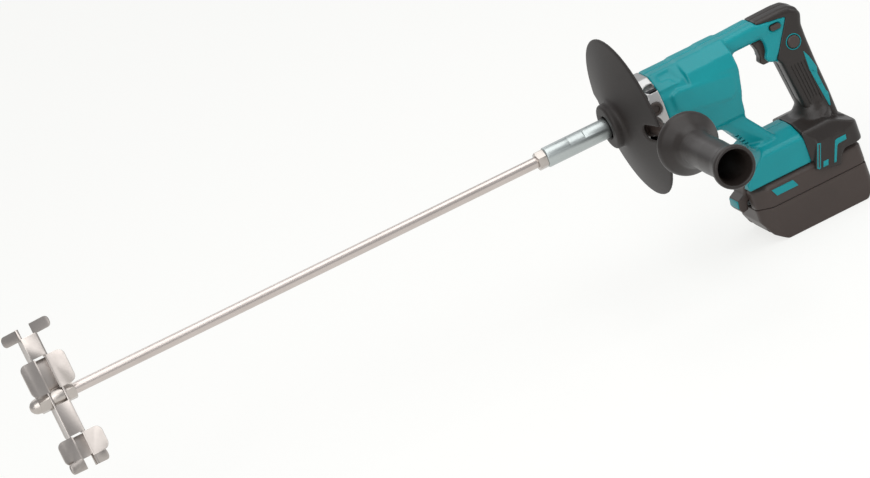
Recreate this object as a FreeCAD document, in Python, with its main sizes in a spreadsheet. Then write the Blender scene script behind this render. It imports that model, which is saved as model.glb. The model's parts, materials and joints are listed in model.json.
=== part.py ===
import FreeCAD, Part
import os
import Sketcher
from FreeCAD import Placement, Rotation, Vector

# Battery mixing drill. Millimetres, +X along the shaft to the blade, +Y left, +Z up.
# The origin is the middle of the flat underside of the battery.

SIZES = {
    # drive line
    "shaft_height": 188.0,
    "rod_radius": 6.0,
    "rod_in_sleeve": 28.0,
    "rod_past_blade": 14.5,
    "rod_chamfer": 1.0,
    "thread_gap": 0.05,
    "run_gap": 0.03,
    "seat_gap": 0.03,
    "part_gap": 0.3,
    "nut_flats": 18.0,
    "nut_thick": 10.0,
    "nut_bevel": 1.2,
    "sleeve_radius": 11.0,
    "sleeve_tuck": 1.0,
    "sleeve_long": 75.0,
    "sleeve_flats": 19.0,
    "sleeve_flat_set": 29.0,
    "sleeve_flat_long": 18.0,
    "sleeve_turn": 40.0,
    "nose_radius": 7.0,
    "nose_long": 20.0,
    "journal_front_radius": 8.5,
    "journal_rear_radius": 7.5,
    "gear_seat_radius": 7.0,
    # folded blade
    "blade_reach": 567.0,
    "blade_turn": 21.5,
    "blade_half_long": 68.0,
    "blade_wide": 18.0,
    "blade_half_deep": 9.0,
    "blade_sheet": 2.0,
    "blade_hub_gap": 8.0,
    "blade_zone_split": 42.0,
    "petal_wide": 17.5,
    "petal_tilt": 19.0,
    "petal_corner": 7.0,
    "fold_wide": 9.0,
    "fold_tilt": 78.0,
    "fold_corner": 4.0,
    "tip_long": 22.0,
    "tip_wide": 12.0,
    "tip_tilt": 43.0,
    "tip_corner": 5.0,
    "hub_radius": 9.0,
    "cap_hex_long": 12.0,
    "cap_dome_long": 10.0,
    # gears
    "gear_drop": 26.0,
    "fine_module": 0.8,
    "pinion_teeth": 9,
    "wheel_teeth": 56,
    "coarse_module": 1.0,
    "lay_teeth": 13,
    "output_teeth": 39,
    "pinion_long": 8.5,
    "wheel_long": 7.0,
    "lay_long": 11.4,
    "output_long": 10.0,
    "gear_clear": 0.8,
    "lay_shaft_radius": 4.0,
    # bearings: outer radius, start and length
    "rear_brg_radius": 16.0,
    "rear_brg_long": 9.0,
    "brg_apart": 5.0,
    "front_brg_radius": 17.5,
    "front_brg_long": 10.0,
    "seal_long": 4.0,
    "lay_brg_radius": 8.0,
    "lay_brg_long": 5.0,
    "motor_front_brg_radius": 11.0,
    "motor_front_brg_long": 7.0,
    "motor_rear_brg_radius": 9.5,
    "motor_rear_brg_long": 6.0,
    # motor
    "motor_shaft_radius": 4.0,
    "rotor_radius": 15.0,
    "stator_inner": 15.6,
    "stator_radius": 28.0,
    "stator_long": 34.0,
    "stator_yoke": 3.6,
    "tooth_wide": 7.0,
    "coil_side": 2.6,
    "coil_over": 4.5,
    "coil_inner": 17.6,
    "board_thick": 1.6,
    "board_gap": 1.0,
    "coil_gap": 0.9,
    "fan_gap": 1.5,
    "rear_wall": 7.0,
    "fan_long": 10.0,
    "fan_blades": 12,
    # gear housing
    "gear_nose_radius": 21.5,
    "gear_cavity_radius": 26.0,
    "lay_cavity_radius": 24.5,
    "gear_wall": 7.2,
    "nose_lip": 0.5,
    "gear_cover_thick": 16.0,
    "gear_cover_gap": 3.0,
    "gear_cover_floor": 2.0,
    "gear_cover_rim": 3.0,
    "case_screw_high": 24.0,
    "case_screw_high_side": 26.5,
    "case_screw_low": 22.0,
    "case_screw_low_side": 28.0,
    "case_screw_radius": 2.0,
    "case_screw_head": 3.8,
    "plug_ahead": 10.5,
    "plug_rise": 7.6,
    "plug_radius": 7.0,
    # barrel section about the shaft line
    "barrel_rear": 41.0,
    "rear_lean": 7.0,
    "barrel_wall": 5.0,
    "barrel_crown": 5.0,
    "barrel_flat": 13.0,
    "barrel_front_span": 34.0,
    "barrel_middle_span": 32.0,
    "barrel_chin": 53.0,
    "barrel_step": 1.0,
    "panel_proud": 1.2,
    # shield
    "shield_radius": 89.5,
    "shield_depth": 27.5,
    "shield_proud": 4.0,
    "shield_thick": 3.0,
    "shield_collar": 25.0,
    "shield_hole": 12.4,
    "notch_half": 10.0,
    "notch_depth": 52.0,
    # side grip
    "grip_ahead": 21.0,
    "grip_drop": 6.0,
    "grip_boss_side": 37.5,
    "grip_boss_radius": 10.0,
    "stem_radius": 8.0,
    "stem_root_radius": 10.8,
    "stem_root_long": 6.0,
    "flange_side": 128.0,
    "flange_radius": 34.0,
    "grip_end_side": 251.0,
    "grip_tube_radius": 18.0,
    "grip_ring_radius": 23.0,
    "grip_bore_radius": 16.0,
    "stud_radius": 4.0,
    "stud_inner_side": 27.0,
    "stud_head_side": 176.0,
    # handle loop
    "arm_half": 17.0,
    "arm_round": 7.0,
    "cover_thick": 3.0,
    "strut_half": 24.0,
    "strut_bevel": 4.0,
    # base and battery
    "base_half": 37.5,
    "base_floor": 66.0,
    "base_front": 76.5,
    "base_split": 1.0,
    "base_cover_half": 44.2,
    "base_cover_rear": -62.0,
    "core_half": 36.0,
    "rail_neck": 21.5,
    "rail_head": 25.5,
    "rail_step": 69.5,
    "rail_top": 77.0,
    "rail_rear": -38.0,
    "rail_front": 66.0,
    "slot_gap": 0.5,
    "battery_half": 39.2,
    "battery_front": 73.0,
    "battery_rear": -58.0,
    "battery_seam": 39.5,
    "battery_top": 65.2,
    "battery_corner": 9.0,
    "battery_shoulder": 5.5,
    "case_wall": 2.5,
    "cell_radius": 9.1,
    "cell_long": 65.0,
    "cell_pitch": 18.7,
    "latch_low": 48.5,
    "latch_half": 13.0,
    # controls
    "trigger_half": 7.0,
    "button_forward": -32.0,
    "button_rise": 1.0,
    "button_radius": 7.0,
    "bolt_forward": -18.0,
    "bolt_rise": 25.0,
    "bolt_long": 12.0,
    "bolt_tall": 5.6,
    "screw_radius": 2.0,
    "screw_head": 3.6,
    "pack_screw": 1.5,
    "lead_radius": 1.3,
}

doc = FreeCAD.newDocument("mixing_drill")
sheet = doc.addObject("Spreadsheet::Sheet", "Sizes")


class Size:
    """A length that keeps the sheet expression it came from."""

    def __init__(self, value, text):
        self.value = float(value)
        self.text = text

    def __add__(self, other):
        other = as_size(other)
        return Size(self.value + other.value, "(%s + %s)" % (self.text, other.text))

    def __radd__(self, other):
        return as_size(other) + self

    def __sub__(self, other):
        other = as_size(other)
        return Size(self.value - other.value, "(%s - %s)" % (self.text, other.text))

    def __rsub__(self, other):
        return as_size(other) - self

    def __mul__(self, other):
        other = as_size(other)
        return Size(self.value * other.value, "(%s * %s)" % (self.text, other.text))

    def __rmul__(self, other):
        return as_size(other) * self

    def __truediv__(self, other):
        other = as_size(other)
        return Size(self.value / other.value, "(%s / %s)" % (self.text, other.text))

    def __neg__(self):
        return Size(-self.value, "(0 - %s)" % self.text)


def as_size(number):
    """A plain number, or a size as it is."""
    if isinstance(number, Size):
        return number
    return Size(number, "(%r)" % float(number))


class Sizes:
    """Every named size as an attribute."""


def fill_sheet():
    """Write the named sizes to the sheet, one row each."""
    sizes = Sizes()
    for row, (name, value) in enumerate(SIZES.items(), 1):
        sheet.set("A%d" % row, name)
        sheet.set("B%d" % row, str(value))
        sheet.setAlias("B%d" % row, name)
        setattr(sizes, name, Size(value, "Sizes." + name))
    doc.recompute()
    return sizes


def derive(sizes):
    """Places that follow from the sizes, worked forward from the barrel's rear wall."""
    s = sizes
    s.fan_radius = s.stator_radius - 0.5
    s.cover_radius = s.stator_radius + s.gear_cover_rim
    s.barrel_half = s.cover_radius + s.barrel_wall
    s.barrel_top = s.cover_radius + s.barrel_crown
    s.motor_rear_brg_start = s.barrel_rear + s.rear_wall
    s.board_start = s.motor_rear_brg_start + s.motor_rear_brg_long + s.board_gap
    s.stator_start = s.board_start + s.board_thick + s.coil_over + s.coil_gap
    s.fan_start = s.stator_start + s.stator_long + s.coil_over + s.fan_gap
    s.cover_start = s.fan_start + s.fan_long + s.gear_cover_gap
    s.motor_front_brg_start = s.cover_start + s.gear_cover_floor
    s.lay_rear_brg_start = s.cover_start + s.gear_cover_floor * 2
    s.joint_plane = s.cover_start + s.gear_cover_thick
    s.barrel_step_one = s.joint_plane - s.barrel_front_span
    s.barrel_step_two = s.barrel_step_one - s.barrel_middle_span
    s.pinion_start = s.joint_plane + s.gear_clear * 0.6
    s.wheel_start = s.pinion_start + s.gear_clear
    s.lay_start = s.wheel_start + s.wheel_long + s.gear_clear * 1.6
    s.output_start = s.lay_start + s.gear_clear
    s.gear_cavity_front = s.lay_start + s.lay_long + s.gear_clear
    s.gear_block_front = s.gear_cavity_front + s.gear_wall
    s.rear_brg_start = s.gear_cavity_front + s.gear_wall * 0.3
    s.lay_front_brg_start = s.gear_cavity_front + s.gear_wall / 6
    s.front_brg_start = s.rear_brg_start + s.rear_brg_long + s.brg_apart
    s.seal_start = s.front_brg_start + s.front_brg_long + s.nose_lip
    s.gear_nose_front = s.seal_start + s.seal_long + s.nose_lip
    s.shield_front = s.gear_nose_front + s.shield_proud
    s.shield_rim = s.shield_front - s.shield_depth
    s.sleeve_rear = s.shield_front - s.sleeve_tuck
    s.sleeve_front = s.sleeve_rear + s.sleeve_long
    s.sleeve_flat_start = s.sleeve_rear + s.sleeve_flat_set
    s.rod_rear = s.sleeve_front - s.rod_in_sleeve
    s.blade_middle = s.sleeve_front + s.blade_reach
    s.rod_front = s.blade_middle + s.blade_wide / 2 + s.rod_past_blade
    s.grip_forward = s.joint_plane + s.grip_ahead
    s.plug_forward = s.joint_plane + s.plug_ahead
    s.button_high = s.shaft_height + s.button_rise
    s.bolt_high = s.shaft_height + s.bolt_rise
    return s


S = derive(fill_sheet())
AXIS = S.shaft_height
LAY = S.shaft_height - S.gear_drop
TURN_X = Rotation(Vector(0, 1, 0), 90)
TURN_Y = Rotation(Vector(1, 0, 0), -90)
NO_TURN = Rotation()
kept = []


def bind(item, prop, size):
    """Tie a property to the sheet."""
    item.setExpression(prop, as_size(size).text)


def place(item, x=0, y=0, z=0, turn=NO_TURN):
    """Put an object at a bound position with a fixed turn."""
    item.Placement = Placement(Vector(as_size(x).value, as_size(y).value, as_size(z).value), turn)
    bind(item, "Placement.Base.x", x)
    bind(item, "Placement.Base.y", y)
    bind(item, "Placement.Base.z", z)
    return item


def keep(item, name):
    """Name a finished sub-part."""
    item.Label = name
    kept.append(item)
    return item


def new_body(name, x=0, y=0, z=0, turn=NO_TURN):
    """An empty body at a bound position."""
    return place(doc.addObject("PartDesign::Body", name), x, y, z, turn)


def outline(body, role, points, offset=None):
    """A closed sketch of straight sides with every corner bound."""
    plane = [f for f in body.Origin.OriginFeatures if f.Role == role][0]
    sketch = body.newObject("Sketcher::SketchObject", body.Name + "_outline")
    sketch.AttachmentSupport = [(plane, "")]
    sketch.MapMode = "FlatFace"
    if offset is not None:
        bind(sketch, "AttachmentOffset.Base.z", offset)
    corners = [(as_size(a), as_size(b)) for a, b in points]
    count = len(corners)
    for i, (a, b) in enumerate(corners):
        c, d = corners[(i + 1) % count]
        sketch.addGeometry(Part.LineSegment(Vector(a.value, b.value, 0), Vector(c.value, d.value, 0)))
    for i in range(count):
        sketch.addConstraint(Sketcher.Constraint("Coincident", i, 2, (i + 1) % count, 1))
    for i, (a, b) in enumerate(corners):
        for kind, size in (("DistanceX", a), ("DistanceY", b)):
            index = sketch.addConstraint(Sketcher.Constraint(kind, -1, 1, i, 1, size.value))
            bind(sketch, "Constraints[%d]" % index, size)
    return sketch


def circle(body, role, radius, offset=None):
    """A sketch of one circle about the origin."""
    plane = [f for f in body.Origin.OriginFeatures if f.Role == role][0]
    sketch = body.newObject("Sketcher::SketchObject", body.Name + "_circle")
    sketch.AttachmentSupport = [(plane, "")]
    sketch.MapMode = "FlatFace"
    if offset is not None:
        bind(sketch, "AttachmentOffset.Base.z", offset)
    sketch.addGeometry(Part.Circle(Vector(), Vector(0, 0, 1), as_size(radius).value))
    sketch.addConstraint(Sketcher.Constraint("Coincident", 0, 3, -1, 1))
    index = sketch.addConstraint(Sketcher.Constraint("Radius", 0, as_size(radius).value))
    bind(sketch, "Constraints[%d]" % index, radius)
    return sketch


def pad(body, sketch, length, back=False, middle=False):
    """Add material from a sketch."""
    feature = body.newObject("PartDesign::Pad", body.Name + "_pad")
    feature.Profile = sketch
    feature.Reversed = back
    feature.Midplane = middle
    bind(feature, "Length", length)
    doc.recompute()
    return feature


def pocket(body, sketch, length, back=False, middle=False):
    """Take material away from a sketch."""
    feature = body.newObject("PartDesign::Pocket", body.Name + "_pocket")
    feature.Profile = sketch
    feature.Reversed = back
    feature.Midplane = middle
    bind(feature, "Length", length)
    doc.recompute()
    return feature


def dress(body, kind, size, test):
    """Round or bevel the edges of a body that pass a test."""
    doc.recompute()
    base = body.Tip
    names = ["Edge%d" % i for i, e in enumerate(base.Shape.Edges, 1) if test(e)]
    feature = body.newObject("PartDesign::" + kind, body.Name + "_" + kind.lower())
    feature.Base = (base, names)
    bind(feature, "Radius" if kind == "Fillet" else "Size", size)
    body.Tip = feature
    doc.recompute()
    return feature


def on_side(axis, size):
    """A test for edges that lie at one coordinate."""
    level = as_size(size).value
    return lambda e: all(abs(v.Point[axis] - level) < 1e-4 for v in e.Vertexes)


def along(axis, where=None):
    """A test for straight edges along an axis, at chosen places."""
    def test(e):
        a, b = e.Vertexes[0].Point, e.Vertexes[-1].Point
        run = b - a
        straight = run.Length > 1e-6 and abs(abs(run[axis]) - run.Length) < 1e-6
        return straight and (where is None or where(e.CenterOfMass))
    return test


def spun(name, axis, points, x=0, y=0, z=0):
    """A turned body: points are along-axis and radius."""
    body = new_body(name, x, y, z)
    if axis == "X":
        sketch = outline(body, "XZ_Plane", points)
        line = "H_Axis"
    elif axis == "Y":
        sketch = outline(body, "XY_Plane", [(r, a) for a, r in points])
        line = "V_Axis"
    else:
        sketch = outline(body, "XZ_Plane", [(r, a) for a, r in points])
        line = "V_Axis"
    feature = body.newObject("PartDesign::Revolution", name + "_turned")
    feature.Profile = sketch
    feature.ReferenceAxis = (sketch, [line])
    feature.Angle = 360
    doc.recompute()
    return body


def ring(name, start, long, outer, inner, z=AXIS, bevel=0.5):
    """A plain ring about the shaft direction with bevelled rims."""
    start, long, outer = as_size(start), as_size(long), as_size(outer)
    stop = start + long
    return spun(name, "X", [
        (start, inner), (start, outer - bevel), (start + bevel, outer),
        (stop - bevel, outer), (stop, outer - bevel), (stop, inner)], z=z)


def slab(name, x0, x1, y0, y1, z0, z1):
    """A block between bound faces."""
    item = doc.addObject("Part::Box", name)
    bind(item, "Length", as_size(x1) - x0)
    bind(item, "Width", as_size(y1) - y0)
    bind(item, "Height", as_size(z1) - z0)
    return place(item, x0, y0, z0)


def rod(name, axis, radius, long, x=0, y=0, z=0):
    """A cylinder that starts at a point and runs along an axis."""
    item = doc.addObject("Part::Cylinder", name)
    bind(item, "Radius", radius)
    bind(item, "Height", long)
    return place(item, x, y, z, {"X": TURN_X, "Y": TURN_Y, "Z": NO_TURN}[axis])


def slanted_rod(name, radius, start, stop, side=0.0):
    """A cylinder between two points, given as (x, z), at one side distance."""
    x, z = as_size(start[0]), as_size(start[1])
    run, rise = as_size(stop[0]) - x, as_size(stop[1]) - z
    item = doc.addObject("Part::Cylinder", name)
    bind(item, "Radius", radius)
    item.setExpression("Height", "sqrt(%s ^ 2 + %s ^ 2)" % (run.text, rise.text))
    return place(item, x, side, z, Rotation(Vector(0, 0, 1), Vector(run.value, 0, rise.value)))


def fuse(name, items):
    """Join solids into one."""
    item = doc.addObject("Part::MultiFuse", name)
    item.Shapes = items
    item.Refine = True
    doc.recompute()
    return item


def cut(name, base, tools):
    """Take a list of solids away from one."""
    tool = tools[0] if len(tools) == 1 else fuse(name + "_tools", tools)
    item = doc.addObject("Part::Cut", name)
    item.Base = base
    item.Tool = tool
    item.Refine = True
    doc.recompute()
    return item


def common(name, base, tool):
    """What two solids share."""
    item = doc.addObject("Part::Common", name)
    item.Base = base
    item.Tool = tool
    item.Refine = True
    doc.recompute()
    return item


def group(name, items):
    """Separate solids under one name."""
    item = doc.addObject("Part::Compound", name)
    item.Links = items
    doc.recompute()
    return item


def mirrored(name, source):
    """The right-hand twin of a left-hand solid."""
    item = doc.addObject("Part::Mirroring", name)
    item.Source = source
    item.Normal = Vector(0, 1, 0)
    item.Base = Vector(0, 0, 0)
    doc.recompute()
    return item


def hexagon(name, flats, start, long, z=AXIS):
    """A hexagonal bar along the shaft."""
    item = doc.addObject("Part::Prism", name)
    item.Polygon = 6
    bind(item, "Circumradius", as_size(flats) / 1.7320508)
    bind(item, "Height", long)
    return place(item, start, 0, z, TURN_X)


def coil(name, radius, wire, long, turns, x, y, z, turn=NO_TURN):
    """A wound wire spring along its own Z."""
    spine = doc.addObject("Part::Helix", name + "_path")
    bind(spine, "Radius", radius)
    bind(spine, "Height", long)
    bind(spine, "Pitch", as_size(long) / turns)
    section = doc.addObject("Part::Circle", name + "_wire")
    bind(section, "Radius", wire)
    section.Placement = Placement(Vector(as_size(radius).value, 0, 0), TURN_Y)
    bind(section, "Placement.Base.x", radius)
    sweep = doc.addObject("Part::Sweep", name)
    sweep.Sections = [section]
    sweep.Spine = (spine, ["Edge1"])
    sweep.Solid = True
    sweep.Frenet = True
    doc.recompute()
    return place(sweep, x, y, z, turn)


def hex_nut(name, start, long=S.nut_thick):
    """A hexagon nut with bevelled corners on the shaft."""
    blank = hexagon(name + "_blank", S.nut_flats, start, long)
    corner = S.nut_flats * 0.5774
    bevel = S.nut_bevel
    shape = spun(name + "_turned", "X", [
        (start, S.rod_radius + S.thread_gap), (start, corner - bevel), (start + bevel * 0.6, corner + 0.1),
        (start + long - bevel * 0.6, corner + 0.1), (start + long, corner - bevel),
        (start + long, S.rod_radius + S.thread_gap)], z=AXIS)
    return common(name, blank, shape)


def gear(name, teeth, module, start, long, z, bore=None, tooth_up=True):
    """A spur gear about the shaft direction, with a tooth or a gap at the top."""
    pitch = teeth * module / 2
    tip = pitch + 0.9 * module
    root = pitch - 1.15 * module
    gap = 0.33 * 3.14159265 * module
    step = 180.0 / teeth.value
    body = new_body(name, 0, 0, z, Rotation(Vector(1, 0, 0), step if tooth_up else 0.0))
    pad(body, circle(body, "YZ_Plane", tip, start), long)
    low = gap - 1.15 * module * 0.37
    high = gap + 1.4 * module * 0.37
    tooth = outline(body, "YZ_Plane", [
        (-low, root), (low, root), (high, pitch + 1.4 * module), (-high, pitch + 1.4 * module)], start)
    feature = pocket(body, tooth, long, back=True)
    pattern = body.newObject("PartDesign::PolarPattern", name + "_teeth")
    pattern.Originals = [feature]
    pattern.Axis = (tooth, ["N_Axis"])
    pattern.Angle = 360
    bind(pattern, "Occurrences", teeth)
    body.Tip = pattern
    doc.recompute()
    if bore is not None:
        pocket(body, circle(body, "YZ_Plane", bore, start), long, back=True)
    return body


def drive_line():
    """Rod, nuts, sleeve and spindle."""
    r, c = S.rod_radius, S.rod_chamfer
    keep(spun("mixing_shaft", "X", [
        (S.rod_rear, 0), (S.rod_rear, r - c), (S.rod_rear + c, r),
        (S.rod_front - c, r), (S.rod_front, r - c), (S.rod_front, 0)], z=AXIS), "mixing_shaft")
    keep(hex_nut("lock_nut", S.sleeve_front), "shaft_lock_nut")
    sleeve = spun("sleeve_blank", "X", [
        (S.sleeve_rear, S.nose_radius + S.thread_gap), (S.sleeve_rear, S.sleeve_radius - c),
        (S.sleeve_rear + c, S.sleeve_radius), (S.sleeve_front - c, S.sleeve_radius),
        (S.sleeve_front, S.sleeve_radius - c), (S.sleeve_front, r + S.thread_gap),
        (S.rod_rear - 2, r + S.thread_gap), (S.rod_rear - 2, 3.0),
        (S.sleeve_rear + S.nose_long + 2, 3.0), (S.sleeve_rear + S.nose_long + 2, S.nose_radius + S.thread_gap)],
        z=AXIS)
    sides = []
    for i, side in enumerate((1, -1)):
        block = doc.addObject("Part::Box", "sleeve_flat_%d" % i)
        bind(block, "Length", S.sleeve_flat_long)
        bind(block, "Width", S.sleeve_radius * 2.4)
        bind(block, "Height", S.sleeve_radius)
        turn = Rotation(Vector(1, 0, 0), -SIZES["sleeve_turn"] + (0 if side == 1 else 180))
        offset = turn.multVec(Vector(0, -1.2 * SIZES["sleeve_radius"], SIZES["sleeve_flats"] / 2))
        place(block, S.sleeve_flat_start, offset.y, AXIS + offset.z, turn)
        sides.append(block)
    keep(cut("joint_sleeve", sleeve, sides), "joint_sleeve")
    spindle_rear = S.pinion_start + S.pinion_long + 1.0
    keep(spun("output_spindle", "X", [
        (spindle_rear, 0), (spindle_rear, S.gear_seat_radius), (S.rear_brg_start - 1.5, S.gear_seat_radius),
        (S.rear_brg_start - 1.5, S.journal_rear_radius),
        (S.rear_brg_start + S.rear_brg_long + 0.5, S.journal_rear_radius),
        (S.rear_brg_start + S.rear_brg_long + 0.5, S.journal_front_radius + 1.5),
        (S.front_brg_start - 0.5, S.journal_front_radius + 1.5),
        (S.front_brg_start - 0.5, S.journal_front_radius), (S.sleeve_rear, S.journal_front_radius),
        (S.sleeve_rear, S.nose_radius), (S.sleeve_rear + S.nose_long - 1, S.nose_radius),
        (S.sleeve_rear + S.nose_long, S.nose_radius - 1), (S.sleeve_rear + S.nose_long, 0)], z=AXIS),
        "output_spindle")
    keep(ring("rear_bearing", S.rear_brg_start, S.rear_brg_long, S.rear_brg_radius,
              S.journal_rear_radius + S.run_gap), "spindle_bearing_rear")
    keep(ring("front_bearing", S.front_brg_start, S.front_brg_long, S.front_brg_radius,
              S.journal_front_radius + S.run_gap), "spindle_bearing_front")
    keep(ring("oil_seal", S.seal_start, S.seal_long, S.front_brg_radius,
              S.journal_front_radius + S.part_gap), "oil_seal")


def petal(name, side, face, middle, long, wide, tilt, corner):
    """A sheet flap that leans out from one rail of the blade."""
    body = new_body(name)
    half = as_size(long) / 2
    start = -S.blade_sheet
    sketch = outline(body, "XZ_Plane", [(start, -half), (wide, -half), (wide, half), (start, half)])
    pad(body, sketch, S.blade_sheet, back=True)
    dress(body, "Fillet", corner, along(1, lambda p: p.x > wide.value * 0.5))
    lean = Rotation(Vector(0, 0, 1), tilt.value)
    if face == 1:
        spin = Rotation(Vector(0, 1, 0), 0 if side == 1 else 180)
    else:
        spin = Rotation(Vector(0, 0, 1), 180) if side == -1 else Rotation(Vector(1, 0, 0), 180)
    place(body, side * (S.blade_wide / 2 - S.blade_sheet * 0.5), face * (S.blade_half_deep - S.blade_sheet * 0.9),
          middle, spin * lean)
    return body


def blade():
    """The folded sheet blade with its hub, nut and cap nut."""
    half, wide, deep, sheet_t = S.blade_half_long, S.blade_wide / 2, S.blade_half_deep, S.blade_sheet
    pieces = []
    for side in (1, -1):
        x0 = wide - sheet_t if side == 1 else -wide
        pieces.append(slab("blade_rail_%s" % ("front" if side == 1 else "rear"),
                           x0, x0 + sheet_t, -deep, deep, -half, half))
    inner = (S.blade_hub_gap + S.blade_zone_split) / 2
    inner_long = S.blade_zone_split - S.blade_hub_gap
    outer = (S.blade_zone_split + half) / 2 + 1
    outer_long = half - S.blade_zone_split - 2
    for arm in (1, -1):
        word = "upper" if arm == 1 else "lower"
        # near the hub the web is on the far side of the upper arm, beyond it on the near side
        for zone, middle, long, face in (("inner", inner, inner_long, arm), ("outer", outer, outer_long, -arm)):
            y0 = -deep if face == 1 else deep - sheet_t
            centre = arm * middle
            pieces.append(slab("blade_web_%s_%s" % (word, zone), -wide, wide, y0, y0 + sheet_t,
                               centre - long / 2, centre + long / 2))
            # near petals lean out wide, far ones are folded back
            lean = (S.petal_wide, S.petal_tilt, S.petal_corner)
            if face == -1:
                lean = (S.fold_wide, S.fold_tilt, S.fold_corner)
            for side in (1, -1):
                pieces.append(petal("blade_petal_%s_%s_%s" % (word, zone, "front" if side == 1 else "rear"),
                                    side, face, centre, long + 2, *lean))
        # at the end one leaf leans out on the near side and the other on the far side
        for side in (1, -1):
            end = "front" if side == 1 else "rear"
            middle = arm * (half + S.tip_wide / 2 - 1)
            pieces.append(petal("blade_tip_%s_%s" % (word, end), side, -side * arm, middle, S.tip_wide, S.tip_long,
                                S.tip_tilt, S.tip_corner))
            x0 = wide - sheet_t if side == 1 else -wide
            y0 = 0 if -side * arm == 1 else -deep
            pieces.append(slab("blade_tab_%s_%s" % (word, end), x0, x0 + sheet_t, y0, y0 + deep,
                               middle - S.tip_wide / 2, middle + S.tip_wide / 2))
    sheet_part = fuse("blade_folded", pieces)
    hole = rod("blade_hole", "X", S.rod_radius + S.thread_gap, S.blade_wide * 2, -S.blade_wide, 0, 0)
    part = cut("impeller", sheet_part, [hole])
    part.Placement = Placement(Vector(), Rotation(Vector(1, 0, 0), SIZES["blade_turn"]))
    bind(part, "Placement.Base.x", S.blade_middle)
    bind(part, "Placement.Base.z", AXIS)
    keep(part, "impeller")
    keep(ring("impeller_hub", S.blade_middle - wide + sheet_t, S.blade_wide - sheet_t * 2, S.hub_radius,
              S.rod_radius + S.thread_gap), "impeller_hub")
    keep(hex_nut("blade_nut", S.blade_middle - wide - S.nut_thick), "impeller_rear_nut")
    start = S.blade_middle + wide
    blank = hexagon("cap_blank", S.nut_flats, start, S.cap_hex_long + S.cap_dome_long)
    corner = S.nut_flats * 0.5774
    dome_x = start + S.cap_hex_long
    dome_r = S.nut_flats * 0.46
    points = [(start, S.rod_radius + S.thread_gap), (start, corner - S.nut_bevel), (start + 0.7, corner + 0.1),
              (dome_x - 1.2, corner + 0.1), (dome_x, dome_r)]
    for run, rise in ((0.45, 0.9), (0.75, 0.68), (0.93, 0.38), (1.0, 0.0)):
        points.append((dome_x + S.cap_dome_long * run, dome_r * rise))
    points += [(S.rod_front + 2.5, 0), (S.rod_front + 0.5, S.rod_radius + S.thread_gap)]
    keep(common("cap_nut", blank, spun("cap_turned", "X", points, z=AXIS)), "impeller_cap_nut")


def gear_train():
    """Output gear, lay gear cluster and their bearings."""
    keep(gear("output_gear", S.output_teeth, S.coarse_module, S.output_start, S.output_long, AXIS,
              S.gear_seat_radius, tooth_up=(SIZES["output_teeth"] % 2 == 1)), "output_gear")
    wheel = gear("lay_wheel", S.wheel_teeth, S.fine_module, S.wheel_start, S.wheel_long, LAY, tooth_up=False)
    small = gear("lay_pinion", S.lay_teeth, S.coarse_module, S.lay_start, S.lay_long, LAY, tooth_up=True)
    r = S.lay_shaft_radius
    end = S.lay_front_brg_start + S.lay_brg_long
    core = spun("lay_shaft", "X", [
        (S.lay_rear_brg_start, 0), (S.lay_rear_brg_start, r - 0.5), (S.lay_rear_brg_start + 0.5, r),
        (S.wheel_start - 0.8, r), (S.wheel_start - 0.8, r + 1), (S.lay_start + S.lay_long + 0.6, r + 1),
        (S.lay_start + S.lay_long + 0.6, r), (end - 0.5, r), (end, r - 0.5), (end, 0)], z=LAY)
    keep(fuse("intermediate_gear", [wheel, small, core]), "intermediate_gear")
    keep(ring("lay_bearing_front", S.lay_front_brg_start, S.lay_brg_long, S.lay_brg_radius, r + S.run_gap, z=LAY),
         "intermediate_bearing_front")
    keep(ring("lay_bearing_rear", S.lay_rear_brg_start, S.lay_brg_long, S.lay_brg_radius, r + S.run_gap, z=LAY),
         "intermediate_bearing_rear")


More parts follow.
